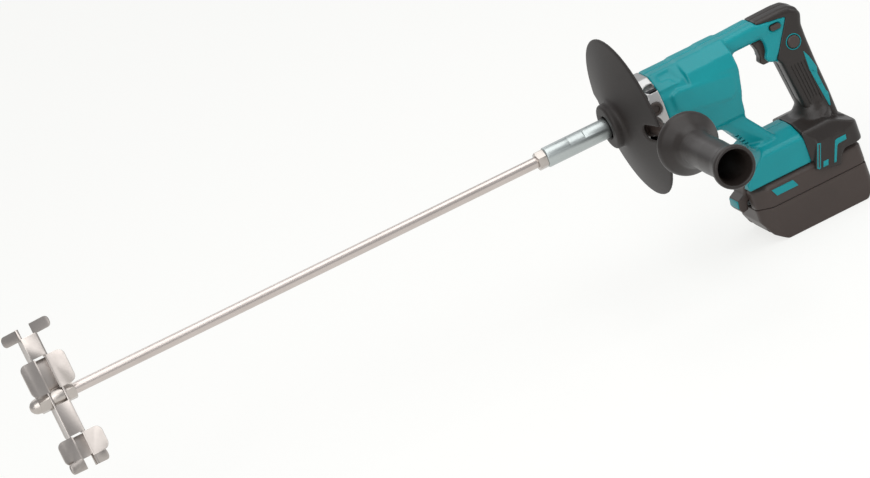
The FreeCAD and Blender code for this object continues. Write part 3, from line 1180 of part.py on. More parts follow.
def battery():
    """Sliding battery pack with its latch and inner parts."""
    half, front, rear, seam = S.battery_half, S.battery_front, S.battery_rear, S.battery_seam
    plan = [(rear, -half), (front - 15, -half), (front, -half + 13), (front, half - 13), (front - 15, half), (rear, half)]
    lower = new_body("lower_plan")
    pad(lower, outline(lower, "XY_Plane", plan), seam - 0.2)
    dress(lower, "Fillet", S.battery_corner, along(2))
    profile = new_body("lower_profile")
    pad(profile, outline(profile, "XZ_Plane", [
        (rear, 15.0), (rear + 12, 0), (front - 20, 0), (front - 8, 8.0), (front, 24.0),
        (front, seam), (rear, seam)]),
        half * 2 + 2, middle=True)
    dress(profile, "Fillet", 3.0, along(1, lambda p: p.z < 30))
    wall = S.case_wall
    room = new_body("lower_room")
    floor = wall + 0.6
    pad(room, outline(room, "XZ_Plane", [
        (rear + wall, seam + 5), (rear + wall, 17.0), (rear + 13.5, floor), (front - 28, floor), (front - 16, 12.0),
        (front - 14, 20.0), (front - 14, seam + 5)]), (half - wall) * 2, middle=True)
    posts = [rod("pack_post_%d" % i, "Z", 3.4, seam - 12.2, x, y, 12.0)
             for i, (x, y) in enumerate(PACK_SCREWS[:2])]
    shell = fuse("lower_shell", [cut("lower_hollow", common("lower_case", lower, profile), [room])] + posts)
    bores, pack_screws = [], []
    for i, (x, y) in enumerate(PACK_SCREWS):
        low = 8.5 if i < 2 else 19.0
        bores.append(rod("pack_bore_%d" % i, "Z", S.pack_screw + S.thread_gap, 60, x, y, 0))
        bores.append(rod("pack_well_%d" % i, "Z", S.pack_screw + 1.7, low + 6, x, y, -3.0))
        pack_screws.append(fuse("pack_screw_%d" % i, [
            rod("pack_head_%d" % i, "Z", S.pack_screw + 1.3, 2.0, x, y, low + 1.0),
            rod("pack_shank_%d" % i, "Z", S.pack_screw, seam + 6 - low, x, y, low + 2.5)]))
    keep(cut("battery_case_lower", shell, bores), "battery_case_lower")
    keep(group("battery_screws", pack_screws), "battery_screws")
    upper = new_body("upper_case")
    pad(upper, outline(upper, "XY_Plane", plan, seam), S.battery_top - seam)
    dress(upper, "Fillet", S.battery_corner, along(2))
    dress(upper, "Chamfer", S.battery_shoulder, on_side(2, S.battery_top))
    neck = slab("rail_neck_solid", S.rail_rear, S.rail_front, -S.rail_neck, S.rail_neck, S.battery_top - 1, S.rail_step)
    head = slab("rail_head_solid", S.rail_rear, S.rail_front, -S.rail_head, S.rail_head, S.rail_step, S.rail_top)
    joined = fuse("upper_joined", [upper, neck, head])
    room = slab("upper_room", rear + wall, front - 14, -half + wall, half - wall, seam - 5,
                S.battery_top - wall - S.battery_shoulder * 0.6)
    latch_room = slab("latch_room", S.rail_front - 6, front + 20, -S.latch_half - 1, S.latch_half + 1, seam - 4, 90)
    slits = [slab("slit_%d" % i, S.rail_rear - 5, S.rail_rear + 12, y - 1.2, y + 1.2, 70.0, 90.0)
             for i, y in enumerate((-12.0, 12.0))]
    hollow = cut("upper_hollow", joined, [room, latch_room] + slits)
    posts = [rod("upper_post_%d" % i, "Z", 3.4, S.battery_top - seam - 1, x, y, seam)
             for i, (x, y) in enumerate(PACK_SCREWS[:2])]
    threads = [rod("upper_thread_%d" % i, "Z", S.pack_screw + S.thread_gap, 10, x, y, seam - 1)
               for i, (x, y) in enumerate(PACK_SCREWS)]
    plates, beds = [], []
    for word, side in (("left", 1), ("right", -1)):
        beds.append(label_plate("label_bed_" + word, side, 0.1, 4.0))
        plates.append(label_plate("label_" + word, side, 0.0, 0.9))
    keep(cut("battery_case_upper", fuse("upper_shell", [hollow] + posts), threads + beds), "battery_case_upper")
    keep(group("battery_label_plates", plates), "battery_label_plates")
    clips = []
    for i, y in enumerate((-12.0, 12.0)):
        start = S.rail_rear + 2
        stop = S.rail_rear + 11
        clips.append(fuse("clip_%d" % i, [
            slab("clip_leaf_a_%d" % i, start, stop, y - 1.15, y - 0.65, 70.2, 76.0),
            slab("clip_leaf_b_%d" % i, start, stop, y + 0.65, y + 1.15, 70.2, 76.0),
            slab("clip_back_%d" % i, stop - 0.8, stop, y - 1.15, y + 1.15, 70.2, 76.0)]))
    keep(group("battery_terminals", clips), "battery_terminals")
    cells = []
    cell_low = wall + S.cell_radius + 1.0
    for row in range(2):
        for i in range(5):
            cells.append(rod("cell_%d_%d" % (row, i), "Y", S.cell_radius, S.cell_long, -39.0 + S.cell_pitch * i,
                             -S.cell_long / 2, cell_low + S.cell_pitch * row))
    keep(group("battery_cells", cells), "battery_cells")
    board_low = cell_low + S.cell_pitch + S.cell_radius + 2.1
    keep(slab("battery_board", -48.0, 50.0, -30, 30, board_low, board_low + 1.6), "battery_board")
    low, latch = S.latch_low, S.latch_half
    button = new_body("latch_button")
    pad(button, outline(button, "XZ_Plane", [
        (front - 11.5, low), (front + 1.0, low), (front + 3.0, low - 9), (front + 10, low - 10.5), (front + 12.5, low - 6),
        (front + 11, low + 4), (front + 2.5, low + 8.5), (front - 1, low + 18.5), (front - 9, S.rail_top - 0.5),
        (front - 11.5, S.rail_top - 0.5)]), latch * 2, middle=True)
    dress(button, "Fillet", 1.5, lambda e: on_side(1, latch)(e) or on_side(1, -latch)(e))
    keep(button, "battery_latch")
    keep(coil("latch_spring", 3.2, 0.4, low - seam - 1.2, 4, front - 5.5, 0, seam + 0.3), "latch_spring")


drive_line()
blade()
gear_train()
motor()
gear_case()
shield()
side_grip()
housing()
controls()
electrics()
battery()
doc.recompute()

os.makedirs("parts", exist_ok=True)
faults = [o.Name for o in doc.Objects if "Invalid" in o.State or "Error" in o.State]
for item in kept:
    shape = item.Shape
    if shape.isNull() or not shape.isValid():
        faults.append(item.Label)
if faults:
    raise RuntimeError("not written, faults in: " + ", ".join(faults))
for item in kept:
    item.Shape.exportStep("parts/%s.step" % item.Label)
print("wrote %d sub-parts" % len(kept))
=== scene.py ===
"""Mixing drill: finishes, moulded detail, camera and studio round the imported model."""
import json
import logging
import math
from collections.abc import Sequence
from dataclasses import dataclass, field
from enum import Enum

import bmesh
import bpy
from mathutils import Matrix, Vector


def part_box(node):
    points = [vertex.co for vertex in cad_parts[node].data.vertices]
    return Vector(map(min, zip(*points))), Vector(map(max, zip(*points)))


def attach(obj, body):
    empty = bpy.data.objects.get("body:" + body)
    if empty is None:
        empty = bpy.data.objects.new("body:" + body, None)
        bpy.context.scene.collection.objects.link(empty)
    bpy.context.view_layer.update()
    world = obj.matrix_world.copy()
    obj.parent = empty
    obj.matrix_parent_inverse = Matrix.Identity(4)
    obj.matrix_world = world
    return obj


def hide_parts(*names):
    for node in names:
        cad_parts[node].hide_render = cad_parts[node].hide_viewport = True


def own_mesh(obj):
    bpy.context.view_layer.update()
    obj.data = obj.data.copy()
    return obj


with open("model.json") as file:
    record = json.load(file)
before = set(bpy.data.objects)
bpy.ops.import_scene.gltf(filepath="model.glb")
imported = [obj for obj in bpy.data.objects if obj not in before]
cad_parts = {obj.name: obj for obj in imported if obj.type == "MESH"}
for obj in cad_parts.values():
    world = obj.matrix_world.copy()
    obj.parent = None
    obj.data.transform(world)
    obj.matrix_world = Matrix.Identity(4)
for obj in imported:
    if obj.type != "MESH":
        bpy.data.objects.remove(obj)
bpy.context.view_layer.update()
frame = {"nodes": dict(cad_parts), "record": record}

LOG = logging.getLogger("mixing_drill")
MM = 0.001
IMAGE_SIZE = (870, 478)
# every finish's noise: its octaves, how strongly they add up, and the span that a patch's blend takes
FINE_DETAIL = 3.0
FINE_ROUGHNESS = 0.6
PATCH_DETAIL = 4.0
PATCH_SPAN = (0.3, 0.7)
# how far each smoothing step moves a point, and which angles count as flat and as sharp
SMOOTH_SHARE = 0.5
FLAT_ANGLE = math.radians(1.0)
EDGE_ANGLE = math.radians(40.0)
PRESSED_ANGLE = math.radians(30.0)
MOULDED_ANGLE = math.radians(50.0)
SIDES = (("left", 1), ("right", -1))

Outline = Sequence[tuple[float, float]]
Place = tuple[float, float, float]


def linear(code: str) -> tuple[float, float, float, float]:
    """Turns an sRGB hex value into a linear colour.

    Args:
        code: Six hex digits with a leading hash.

    Returns:
        Linear red, green, blue and alpha.
    """
    parts = [int(code[i:i + 2], 16) / 255 for i in (1, 3, 5)]
    return (*(p / 12.92 if p <= 0.04045 else ((p + 0.055) / 1.055) ** 2.4 for p in parts), 1.0)


def add(tree: bpy.types.NodeTree, kind: str, settings: dict | None = None,
        links: dict | None = None) -> bpy.types.Node:
    """Adds one shader node with its settings and links.

    Args:
        tree: The node tree that gets the node.
        kind: Blender's name of the node type.
        settings: Values by attribute name, or by socket name or number.
        links: Output sockets by the name or number of the socket they feed.

    Returns:
        The new node.
    """
    made = tree.nodes.new(kind)
    for key, value in (settings or {}).items():
        if isinstance(key, str) and hasattr(made, key):
            setattr(made, key, value)
        else:
            made.inputs[key].default_value = value
    for key, source in (links or {}).items():
        tree.links.new(source, made.inputs[key])
    return made


class Grain(Enum):
    """Which way a finish's fine marks run."""

    EVEN = (1.0, 1.0, 1.0)
    ALONG_X = (0.02, 1.0, 1.0)
    ROUND_X = (1.0, 0.03, 0.03)


@dataclass(frozen=True)
class Finish:
    """One real material and how its surface was made."""

    name: str
    slot: str
    colour: str
    shade: str
    roughness: float
    rough_spread: float
    grain_mm: float
    bump_mm: float
    patch_mm: float = 45.0
    metallic: float = 0.0
    ior: float = 1.5
    warp_mm: float = 0.0
    grain: Grain = Grain.EVEN

    def material(self) -> bpy.types.Material:
        """Builds the finish as a node material.

        Returns:
            The material, made once and then shared.
        """
        found = bpy.data.materials.get(self.name)
        if found:
            return found
        made = bpy.data.materials.new(self.name)
        made.use_nodes = True
        tree = made.node_tree
        tree.nodes.clear()
        place = add(tree, "ShaderNodeTexCoord").outputs["Object"]
        stretch = add(tree, "ShaderNodeMapping", {"Scale": self.grain.value}, {"Vector": place})
        fine = add(tree, "ShaderNodeTexNoise",
                   {"Scale": 1 / (self.grain_mm * MM), "Detail": FINE_DETAIL, "Roughness": FINE_ROUGHNESS},
                   {"Vector": stretch.outputs[0]})
        patch = add(tree, "ShaderNodeTexNoise", {"Scale": 1 / (self.patch_mm * MM), "Detail": PATCH_DETAIL},
                    {"Vector": place})
        blend = add(tree, "ShaderNodeMapRange", {"From Min": PATCH_SPAN[0], "From Max": PATCH_SPAN[1]},
                    {"Value": patch.outputs["Fac"]})
        speck = add(tree, "ShaderNodeMath", {"operation": "MULTIPLY"},
                    {0: blend.outputs[0], 1: fine.outputs["Fac"]})
        tint = add(tree, "ShaderNodeMix",
                   {"data_type": "RGBA", 6: linear(self.colour), 7: linear(self.shade)},
                   {0: speck.outputs[0]})
        least, most = self.roughness - self.rough_spread, self.roughness + self.rough_spread
        rough = add(tree, "ShaderNodeMapRange", {"To Min": least, "To Max": most},
                    {"Value": fine.outputs["Fac"]})
        swell = add(tree, "ShaderNodeTexNoise", {"Scale": 1 / (self.patch_mm * MM), "Detail": 0.0},
                    {"Vector": place})
        warp = add(tree, "ShaderNodeBump", {"Distance": self.warp_mm * MM, "Strength": 1.0},
                   {"Height": swell.outputs["Fac"]})
        bump = add(tree, "ShaderNodeBump", {"Distance": self.bump_mm * MM, "Strength": 1.0},
                   {"Height": fine.outputs["Fac"], "Normal": warp.outputs[0]})
        shader = add(tree, "ShaderNodeBsdfPrincipled", {"Metallic": self.metallic, "IOR": self.ior},
                     {"Base Color": tint.outputs[2], "Roughness": rough.outputs[0],
                      "Normal": bump.outputs[0]})
        add(tree, "ShaderNodeOutputMaterial", None, {"Surface": shader.outputs[0]})
        return made


# moulded glass-filled nylon: an even satin from the sparked mould, faintly cloudy
TEAL_NYLON = Finish("moulded_nylon_teal", "teal_plastic", "#0d989f", "#098b93", roughness=0.37,
                    rough_spread=0.04, grain_mm=0.6, bump_mm=0.005, ior=1.42)
# the same nylon in warm black-brown, a little duller
DARK_NYLON = Finish("moulded_nylon_dark", "dark_plastic", "#493f3b", "#3f3632", roughness=0.40,
                    rough_spread=0.04, grain_mm=0.6, bump_mm=0.006, ior=1.4)
# soft elastomer moulded over the frame: satin, with a soft edge of light
SOFT_ELASTOMER = Finish("overmoulded_elastomer", "soft_grip", "#2a2421", "#221d1b", roughness=0.37,
                        rough_spread=0.04, grain_mm=0.5, bump_mm=0.004, ior=1.45)
# pressed rubber: dull, slightly dusty patches
PRESSED_RUBBER = Finish("pressed_rubber", "shield_rubber", "#2c2725", "#24201f", roughness=0.52,
                        rough_spread=0.05, grain_mm=0.8, bump_mm=0.008, patch_mm=30.0, ior=1.38)
# die-cast aluminium, bead blasted: even silver grey with a fine pitted grain
CAST_ALUMINIUM = Finish("cast_aluminium_blasted", "cast_aluminium", "#bdbcbb", "#aeacaa", roughness=0.40,
                        rough_spread=0.03, grain_mm=1.6, bump_mm=0.001, patch_mm=20.0, metallic=1.0)
# cold drawn bar: fine lines along the shaft, drawn coarser than the real ones so that they show
DRAWN_STEEL = Finish("drawn_steel_bar", "bright_steel", "#cdc4bf", "#bbb1ab", roughness=0.30,
                     rough_spread=0.01, grain_mm=2.5, bump_mm=0.00005, patch_mm=60.0, metallic=1.0,
                     grain=Grain.ALONG_X)
# turned steel: fine rings round the shaft, drawn coarser than the real ones so that they show
TURNED_STEEL = Finish("turned_steel", "bright_steel", "#b9bfbe", "#a9afae", roughness=0.34,
                      rough_spread=0.02, grain_mm=1.8, bump_mm=0.0001, patch_mm=40.0, metallic=1.0,
                      grain=Grain.ROUND_X)
# pressed stainless sheet: soft rolled sheen, slightly uneven from the press
SHEET_STEEL = Finish("pressed_stainless_sheet", "bright_steel", "#b8b1ac", "#a19a95", roughness=0.30,
                     rough_spread=0.02, grain_mm=6.0, bump_mm=0.0002, patch_mm=60.0, metallic=1.0,
                     warp_mm=6.0)
# machined stainless: warm grey with a soft gleam on its faces
MACHINED_STEEL = Finish("machined_stainless", "bright_steel", "#c2bbb5", "#ada6a0", roughness=0.30,
                        rough_spread=0.02, grain_mm=1.8, bump_mm=0.0001, patch_mm=30.0, metallic=1.0)
# blackened steel screws: near black with a thin gleam
BLACK_STEEL = Finish("blackened_steel", "black_steel", "#3a3a3c", "#2c2c2e", roughness=0.38,
                     rough_spread=0.06, grain_mm=0.3, bump_mm=0.002, patch_mm=12.0, metallic=1.0)
# stacked electrical steel: grey, with the lines of its sheets round the shaft
STACKED_STEEL = Finish("stacked_electrical_steel", "silicon_steel", "#8d8d90", "#77777a", roughness=0.45,
                       rough_spread=0.08, grain_mm=0.5, bump_mm=0.02, patch_mm=20.0, metallic=1.0,
                       grain=Grain.ROUND_X)
# enamelled copper winding: warm orange brown with a lacquered gleam
COPPER = Finish("enamelled_copper", "copper_wire", "#b5653a", "#96502c", roughness=0.32,
                rough_spread=0.06, grain_mm=0.6, bump_mm=0.02, patch_mm=10.0, metallic=1.0)
# coated glass laminate: deep green under a clear, slightly glossy coat
LAMINATE = Finish("coated_glass_laminate", "circuit_board", "#1f5a35", "#174a2a", roughness=0.35,
                  rough_spread=0.05, grain_mm=0.8, bump_mm=0.008, patch_mm=10.0)
# shrunk sleeve on the cells: smooth blue film
SLEEVE = Finish("shrunk_cell_sleeve", "cell_sleeve", "#3f6f9c", "#356289", roughness=0.33,
                rough_spread=0.05, grain_mm=0.8, bump_mm=0.006, patch_mm=15.0)

NODE_FINISH: dict[str, Finish] = {
    "mixing_shaft": DRAWN_STEEL, "shaft_lock_nut": TURNED_STEEL, "joint_sleeve": TURNED_STEEL,
    "output_spindle": TURNED_STEEL, "spindle_bearing_rear": TURNED_STEEL,
    "spindle_bearing_front": TURNED_STEEL, "oil_seal": PRESSED_RUBBER,
    "impeller": SHEET_STEEL, "impeller_hub": TURNED_STEEL,
    "impeller_rear_nut": TURNED_STEEL, "impeller_cap_nut": TURNED_STEEL, "output_gear": BLACK_STEEL,
    "intermediate_gear": BLACK_STEEL, "intermediate_bearing_front": TURNED_STEEL,
    "intermediate_bearing_rear": TURNED_STEEL, "rotor_shaft": TURNED_STEEL, "rotor_core": STACKED_STEEL,
    "motor_bearing_front": TURNED_STEEL, "motor_bearing_rear": TURNED_STEEL, "cooling_fan": DARK_NYLON,
    "stator": STACKED_STEEL, "stator_coils": COPPER, "sensor_board": LAMINATE, "gear_housing": CAST_ALUMINIUM,
    "gear_housing_screws": BLACK_STEEL, "side_plug": DARK_NYLON, "gear_cover": CAST_ALUMINIUM,
    "shield": PRESSED_RUBBER, "side_grip": SOFT_ELASTOMER, "side_grip_spacer": DARK_NYLON,
    "side_grip_stud": TURNED_STEEL, "housing_left": TEAL_NYLON, "housing_right": TEAL_NYLON,
    "housing_screws": BLACK_STEEL, "grip_cover_left": SOFT_ELASTOMER, "grip_cover_right": SOFT_ELASTOMER,
    "base_cover": SOFT_ELASTOMER, "trigger": DARK_NYLON, "trigger_switch": DARK_NYLON,
    "trigger_spring": TURNED_STEEL, "lock_button": DARK_NYLON, "lock_bolt": DARK_NYLON,
    "controller": LAMINATE, "motor_leads": COPPER, "switch_leads": COPPER, "terminal_block": DARK_NYLON,
    "battery_case_lower": DARK_NYLON, "battery_screws": BLACK_STEEL, "battery_case_upper": DARK_NYLON,
    "battery_label_plates": TEAL_NYLON, "battery_terminals": COPPER, "battery_cells": SLEEVE,
    "battery_board": LAMINATE, "battery_latch": DARK_NYLON, "latch_spring": TURNED_STEEL,
}


def paint(piece: bpy.types.Object, finish: Finish) -> None:
    """Gives a piece one finish all over.

    Args:
        piece: The object to finish.
        finish: What it is made of.
    """
    piece.data.materials.clear()
    piece.data.materials.append(finish.material())


def node_body(node: str) -> str:
    """Finds the CAD body that carries a node.

    Args:
        node: The node's name.

    Returns:
        The body's name.
    """
    groups = frame["record"]["behaviour"]["bodies"]
    return next(body for body, nodes in groups.items() if node in nodes)


def show(name: str, made: bmesh.types.BMesh, finish: Finish, body: str) -> bpy.types.Object:
    """Turns a finished bmesh into a smooth-shaded piece on its body.

    Args:
        name: The piece's name.
        made: Its mesh, in metres, freed here.
        finish: What it is made of.
        body: The CAD body that carries it.

    Returns:
        The new object.
    """
    bmesh.ops.recalc_face_normals(made, faces=made.faces)
    for face in made.faces:
        face.smooth = True
    mesh = bpy.data.meshes.new(name)
    made.to_mesh(mesh)
    made.free()
    piece = bpy.data.objects.new(name, mesh)
    bpy.context.scene.collection.objects.link(piece)
    paint(piece, finish)
    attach(piece, body)
    LOG.info("%s: %d faces on %s", name, len(mesh.polygons), body)
    return piece


def sweep(corners: list[Place], way: Place) -> bmesh.types.BMesh:
    """Extrudes a flat outline into a solid.

    Args:
        corners: The outline's corners, in millimetres.
        way: How far it is extruded, in millimetres.

    Returns:
        A closed bmesh in metres.
    """
    made = bmesh.new()
    face = made.faces.new([made.verts.new(Vector(corner) * MM) for corner in corners])
    grown = bmesh.ops.extrude_face_region(made, geom=[face])["geom"]
    moved = [item for item in grown if isinstance(item, bmesh.types.BMVert)]
    bmesh.ops.translate(made, verts=moved, vec=Vector(way) * MM)
    bmesh.ops.recalc_face_normals(made, faces=made.faces)
    return made


def prism(outline: Outline, near: float, far: float) -> bmesh.types.BMesh:
    """Extrudes an outline seen from the side across the drill.

    Args:
        outline: Corners as x and z, in millimetres.
        near: The y of the first face, in millimetres.
        far: The y of the last face, in millimetres.

    Returns:
        A closed bmesh in metres.
    """
    return sweep([(x, near, z) for x, z in outline], (0.0, far - near, 0.0))


def egg(centre: Place, half: Place) -> bmesh.types.BMesh:
    """Makes an egg-shaped solid.

    Args:
        centre: Its middle, in millimetres.
        half: Half its length each way, in millimetres.

    Returns:
        A closed bmesh in metres.
    """
    made = bmesh.new()
    place = Matrix.Translation(Vector(centre) * MM) @ Matrix.Diagonal((*(v * MM for v in half), 1.0))
    bmesh.ops.create_uvsphere(made, u_segments=32, v_segments=16, radius=1.0, matrix=place)
    return made


def hull(corners: list[Place]) -> bmesh.types.BMesh:
    """Makes the convex solid round a few corners.

    Args:
        corners: The corners, in millimetres.

    Returns:
        A closed bmesh in metres.
    """
    made = bmesh.new()
    points = [made.verts.new(Vector(corner) * MM) for corner in corners]
    bmesh.ops.convex_hull(made, input=points)
    bmesh.ops.recalc_face_normals(made, faces=made.faces)
    return made


def loose(name: str, made: bmesh.types.BMesh) -> bpy.types.Object:
    """Links a helper object that is removed again after use.

    Args:
        name: The helper's name.
        made: Its mesh, freed here.

    Returns:
        The helper.
    """
    mesh = bpy.data.meshes.new(name)
    made.to_mesh(mesh)
    made.free()
    helper = bpy.data.objects.new(name, mesh)
    bpy.context.scene.collection.objects.link(helper)
    return helper


def settle(helper: bpy.types.Object, others: list[bpy.types.Object]) -> bmesh.types.BMesh:
    """Applies a helper's modifiers and clears the helpers away.

    Args:
        helper: The object whose modifiers give the shape.
        others: Objects that its modifiers read.

    Returns:
        The finished shape.
    """
    bpy.context.view_layer.update()
    ready = helper.evaluated_get(bpy.context.evaluated_depsgraph_get())
    mesh = bpy.data.meshes.new_from_object(ready)
    made = bmesh.new()
    made.from_mesh(mesh)
    bpy.data.meshes.remove(mesh)
    for item in [helper, *others]:
        data = item.data
        bpy.data.objects.remove(item)
        bpy.data.meshes.remove(data)
    return made


class Joining(Enum):
    """How a helper solid changes a blank."""

    ADD = "UNION"
    CUT = "DIFFERENCE"


def join(blank: bpy.types.Object, shapes: list[bmesh.types.BMesh], way: Joining) -> list[bpy.types.Object]:
    """Adds or cuts solids on a blank, one modifier each.

    Args:
        blank: The helper that gets the modifiers.
        shapes: The solids, freed here.
        way: Whether they are added or cut away.

    Returns:
        The helpers that the modifiers read.
    """
    tools = []
    for shape in shapes:
        tool = loose(blank.name + "_tool", shape)
        step = blank.modifiers.new(way.name.lower(), "BOOLEAN")
        step.operation = way.value
        step.solver = "EXACT"
        step.object = tool
        tools.append(tool)
    return tools


def shaped(name: str, made: bmesh.types.BMesh, adds: list[bmesh.types.BMesh], cuts: list[bmesh.types.BMesh],
           cell_mm: float, rounds: int) -> bmesh.types.BMesh:
    """Adds and cuts solids on a blank, then rounds all its edges.

    Args:
        name: The piece that the blank is for.
        made: The blank, freed here.
        adds: Solids to join to it, freed here.
        cuts: Solids to cut from it, freed here.
        cell_mm: Size of the grid that it is laid out on, in millimetres.
        rounds: How often the grid is smoothed.

    Returns:
        The rounded shape.
    """
    blank = loose(name + "_blank", made)
    others = join(blank, adds, Joining.ADD) + join(blank, cuts, Joining.CUT)
    grid = blank.modifiers.new("grid", "REMESH")
    grid.mode = "VOXEL"
    grid.voxel_size = cell_mm * MM
    made = settle(blank, others)
    for _ in range(rounds):
        bmesh.ops.smooth_vert(made, verts=made.verts, factor=SMOOTH_SHARE, use_axis_x=True, use_axis_y=True,
                              use_axis_z=True)
    return made


def carve(name: str, made: bmesh.types.BMesh, cuts: list[bmesh.types.BMesh]) -> bmesh.types.BMesh:
    """Cuts crisp-edged solids from a shape.

    Args:
        name: The piece that the shape is for.
        made: The shape, freed here.
        cuts: Solids to cut from it, freed here.

    Returns:
        The carved shape.
    """
    blank = loose(name + "_carved", made)
    return settle(blank, join(blank, cuts, Joining.CUT))


def node_copy(node: str) -> bmesh.types.BMesh:
    """Copies a CAD node's mesh with its seams merged.

    Args:
        node: The node's name.

    Returns:
        The copy.
    """
    made = bmesh.new()
    made.from_mesh(frame["nodes"][node].data)
    bmesh.ops.remove_doubles(made, verts=made.verts, dist=0.001 * MM)
    bmesh.ops.recalc_face_normals(made, faces=made.faces)
    return made


@dataclass
class Moulding:
    """A CAD node's form with the soft edges that its mould leaves."""

    node: str
    finish: Finish
    cell_mm: float = 1.0
    rounds: int = 4
    cuts: list[bmesh.types.BMesh] = field(default_factory=list)
    adds: list[bmesh.types.BMesh] = field(default_factory=list)
    grooves: list[bmesh.types.BMesh] = field(default_factory=list)

    def build(self) -> bpy.types.Object:
        """Rounds the node's edges on a copy, then cuts the fine grooves.

        Returns:
            The piece that stands for the node.
        """
        made = shaped(self.node, node_copy(self.node), self.adds, self.cuts, self.cell_mm, self.rounds)
        if self.grooves:
            made = carve(self.node, made, self.grooves)
        piece = show(self.node + "_form", made, self.finish, node_body(self.node))
        piece.data.set_sharp_from_angle(angle=MOULDED_ANGLE)
        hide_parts(self.node)
        return piece


@dataclass
class Pressing:
    """A metal CAD node with its sharp edges broken."""

    node: str
    finish: Finish
    edge_mm: float = 0.4
    start_x: float | None = None

    def build(self) -> bpy.types.Object:
        """Bevels the sharp edges of a copy of the node, cut off behind start_x where that is set.

        Returns:
            The piece that stands for the node.
        """
        made = node_copy(self.node)
        if self.start_x is not None:
            every = made.verts[:] + made.edges[:] + made.faces[:]
            bmesh.ops.bisect_plane(made, geom=every, plane_co=(self.start_x * MM, 0.0, 0.0),
                                   plane_no=(1.0, 0.0, 0.0), clear_inner=True)
            bmesh.ops.holes_fill(made, edges=made.edges)
        bmesh.ops.dissolve_limit(made, angle_limit=FLAT_ANGLE, verts=made.verts, edges=made.edges)
        sharp = [e for e in made.edges if len(e.link_faces) == 2 and e.calc_face_angle() > EDGE_ANGLE]
        bmesh.ops.bevel(made, geom=sharp, offset=self.edge_mm * MM, segments=2, profile=0.5, affect="EDGES",
                        material=-1, clamp_overlap=True)
        piece = show(self.node + "_form", made, self.finish, node_body(self.node))
        piece.data.set_sharp_from_angle(angle=PRESSED_ANGLE)
        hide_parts(self.node)
        return piece


@dataclass
class Spring:
    """A wound spring, shown as a copy of its node."""

    node: str
    joint: str
    axis: Place
    anchor: Place
    keep: float

    def build(self) -> bpy.types.Object:
        """Puts a smooth-shaded copy of the spring in place of its node.

        Returns:
            The piece that stands for the node.
        """
        piece = show(self.node + "_form", node_copy(self.node), TURNED_STEEL, node_body(self.node))
        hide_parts(self.node)
        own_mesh(piece)
        return piece


@dataclass
class Inlay:
    """A thin coloured panel that follows the surface under it."""

    name: str
    outline: Outline
    finish: Finish
    thick_mm: float = 0.5
    side: int = 1
    start_mm: float = 80.0
    step_mm: float = 1.5

    def build(self, carrier: bpy.types.Object, body: str) -> bpy.types.Object:
        """Lays the panel on a piece, seen square from the side.

        Args:
            carrier: The piece that it lies on.
            body: The CAD body that carries it.

        Returns:
            The panel.
        """
        made = bmesh.new()
        y = self.side * self.start_mm
        made.faces.new([made.verts.new((x * MM, y * MM, z * MM)) for x, z in self.outline])
        for axis in (0, 2):
            spread = [v.co[axis] for v in made.verts]
            steps = max(2, int((max(spread) - min(spread)) / (self.step_mm * MM)))
            for i in range(1, steps):
                at, way = Vector(), Vector()
                at[axis] = min(spread) + (max(spread) - min(spread)) * i / steps
                way[axis] = 1.0
                bmesh.ops.bisect_plane(made, geom=made.verts[:] + made.edges[:] + made.faces[:], plane_co=at,
                                       plane_no=way)
        panel = loose(self.name + "_blank", made)
        wrap = panel.modifiers.new("lay", "SHRINKWRAP")
        wrap.wrap_method = "PROJECT"
        wrap.use_project_y = True
        wrap.use_positive_direction = self.side < 0
        wrap.use_negative_direction = self.side > 0
        wrap.target = carrier
        shell = panel.modifiers.new("shell", "SOLIDIFY")
        shell.thickness = self.thick_mm * MM * 2
        shell.offset = 0.0
        made = settle(panel, [])
        return show(self.name, made, self.finish, body)


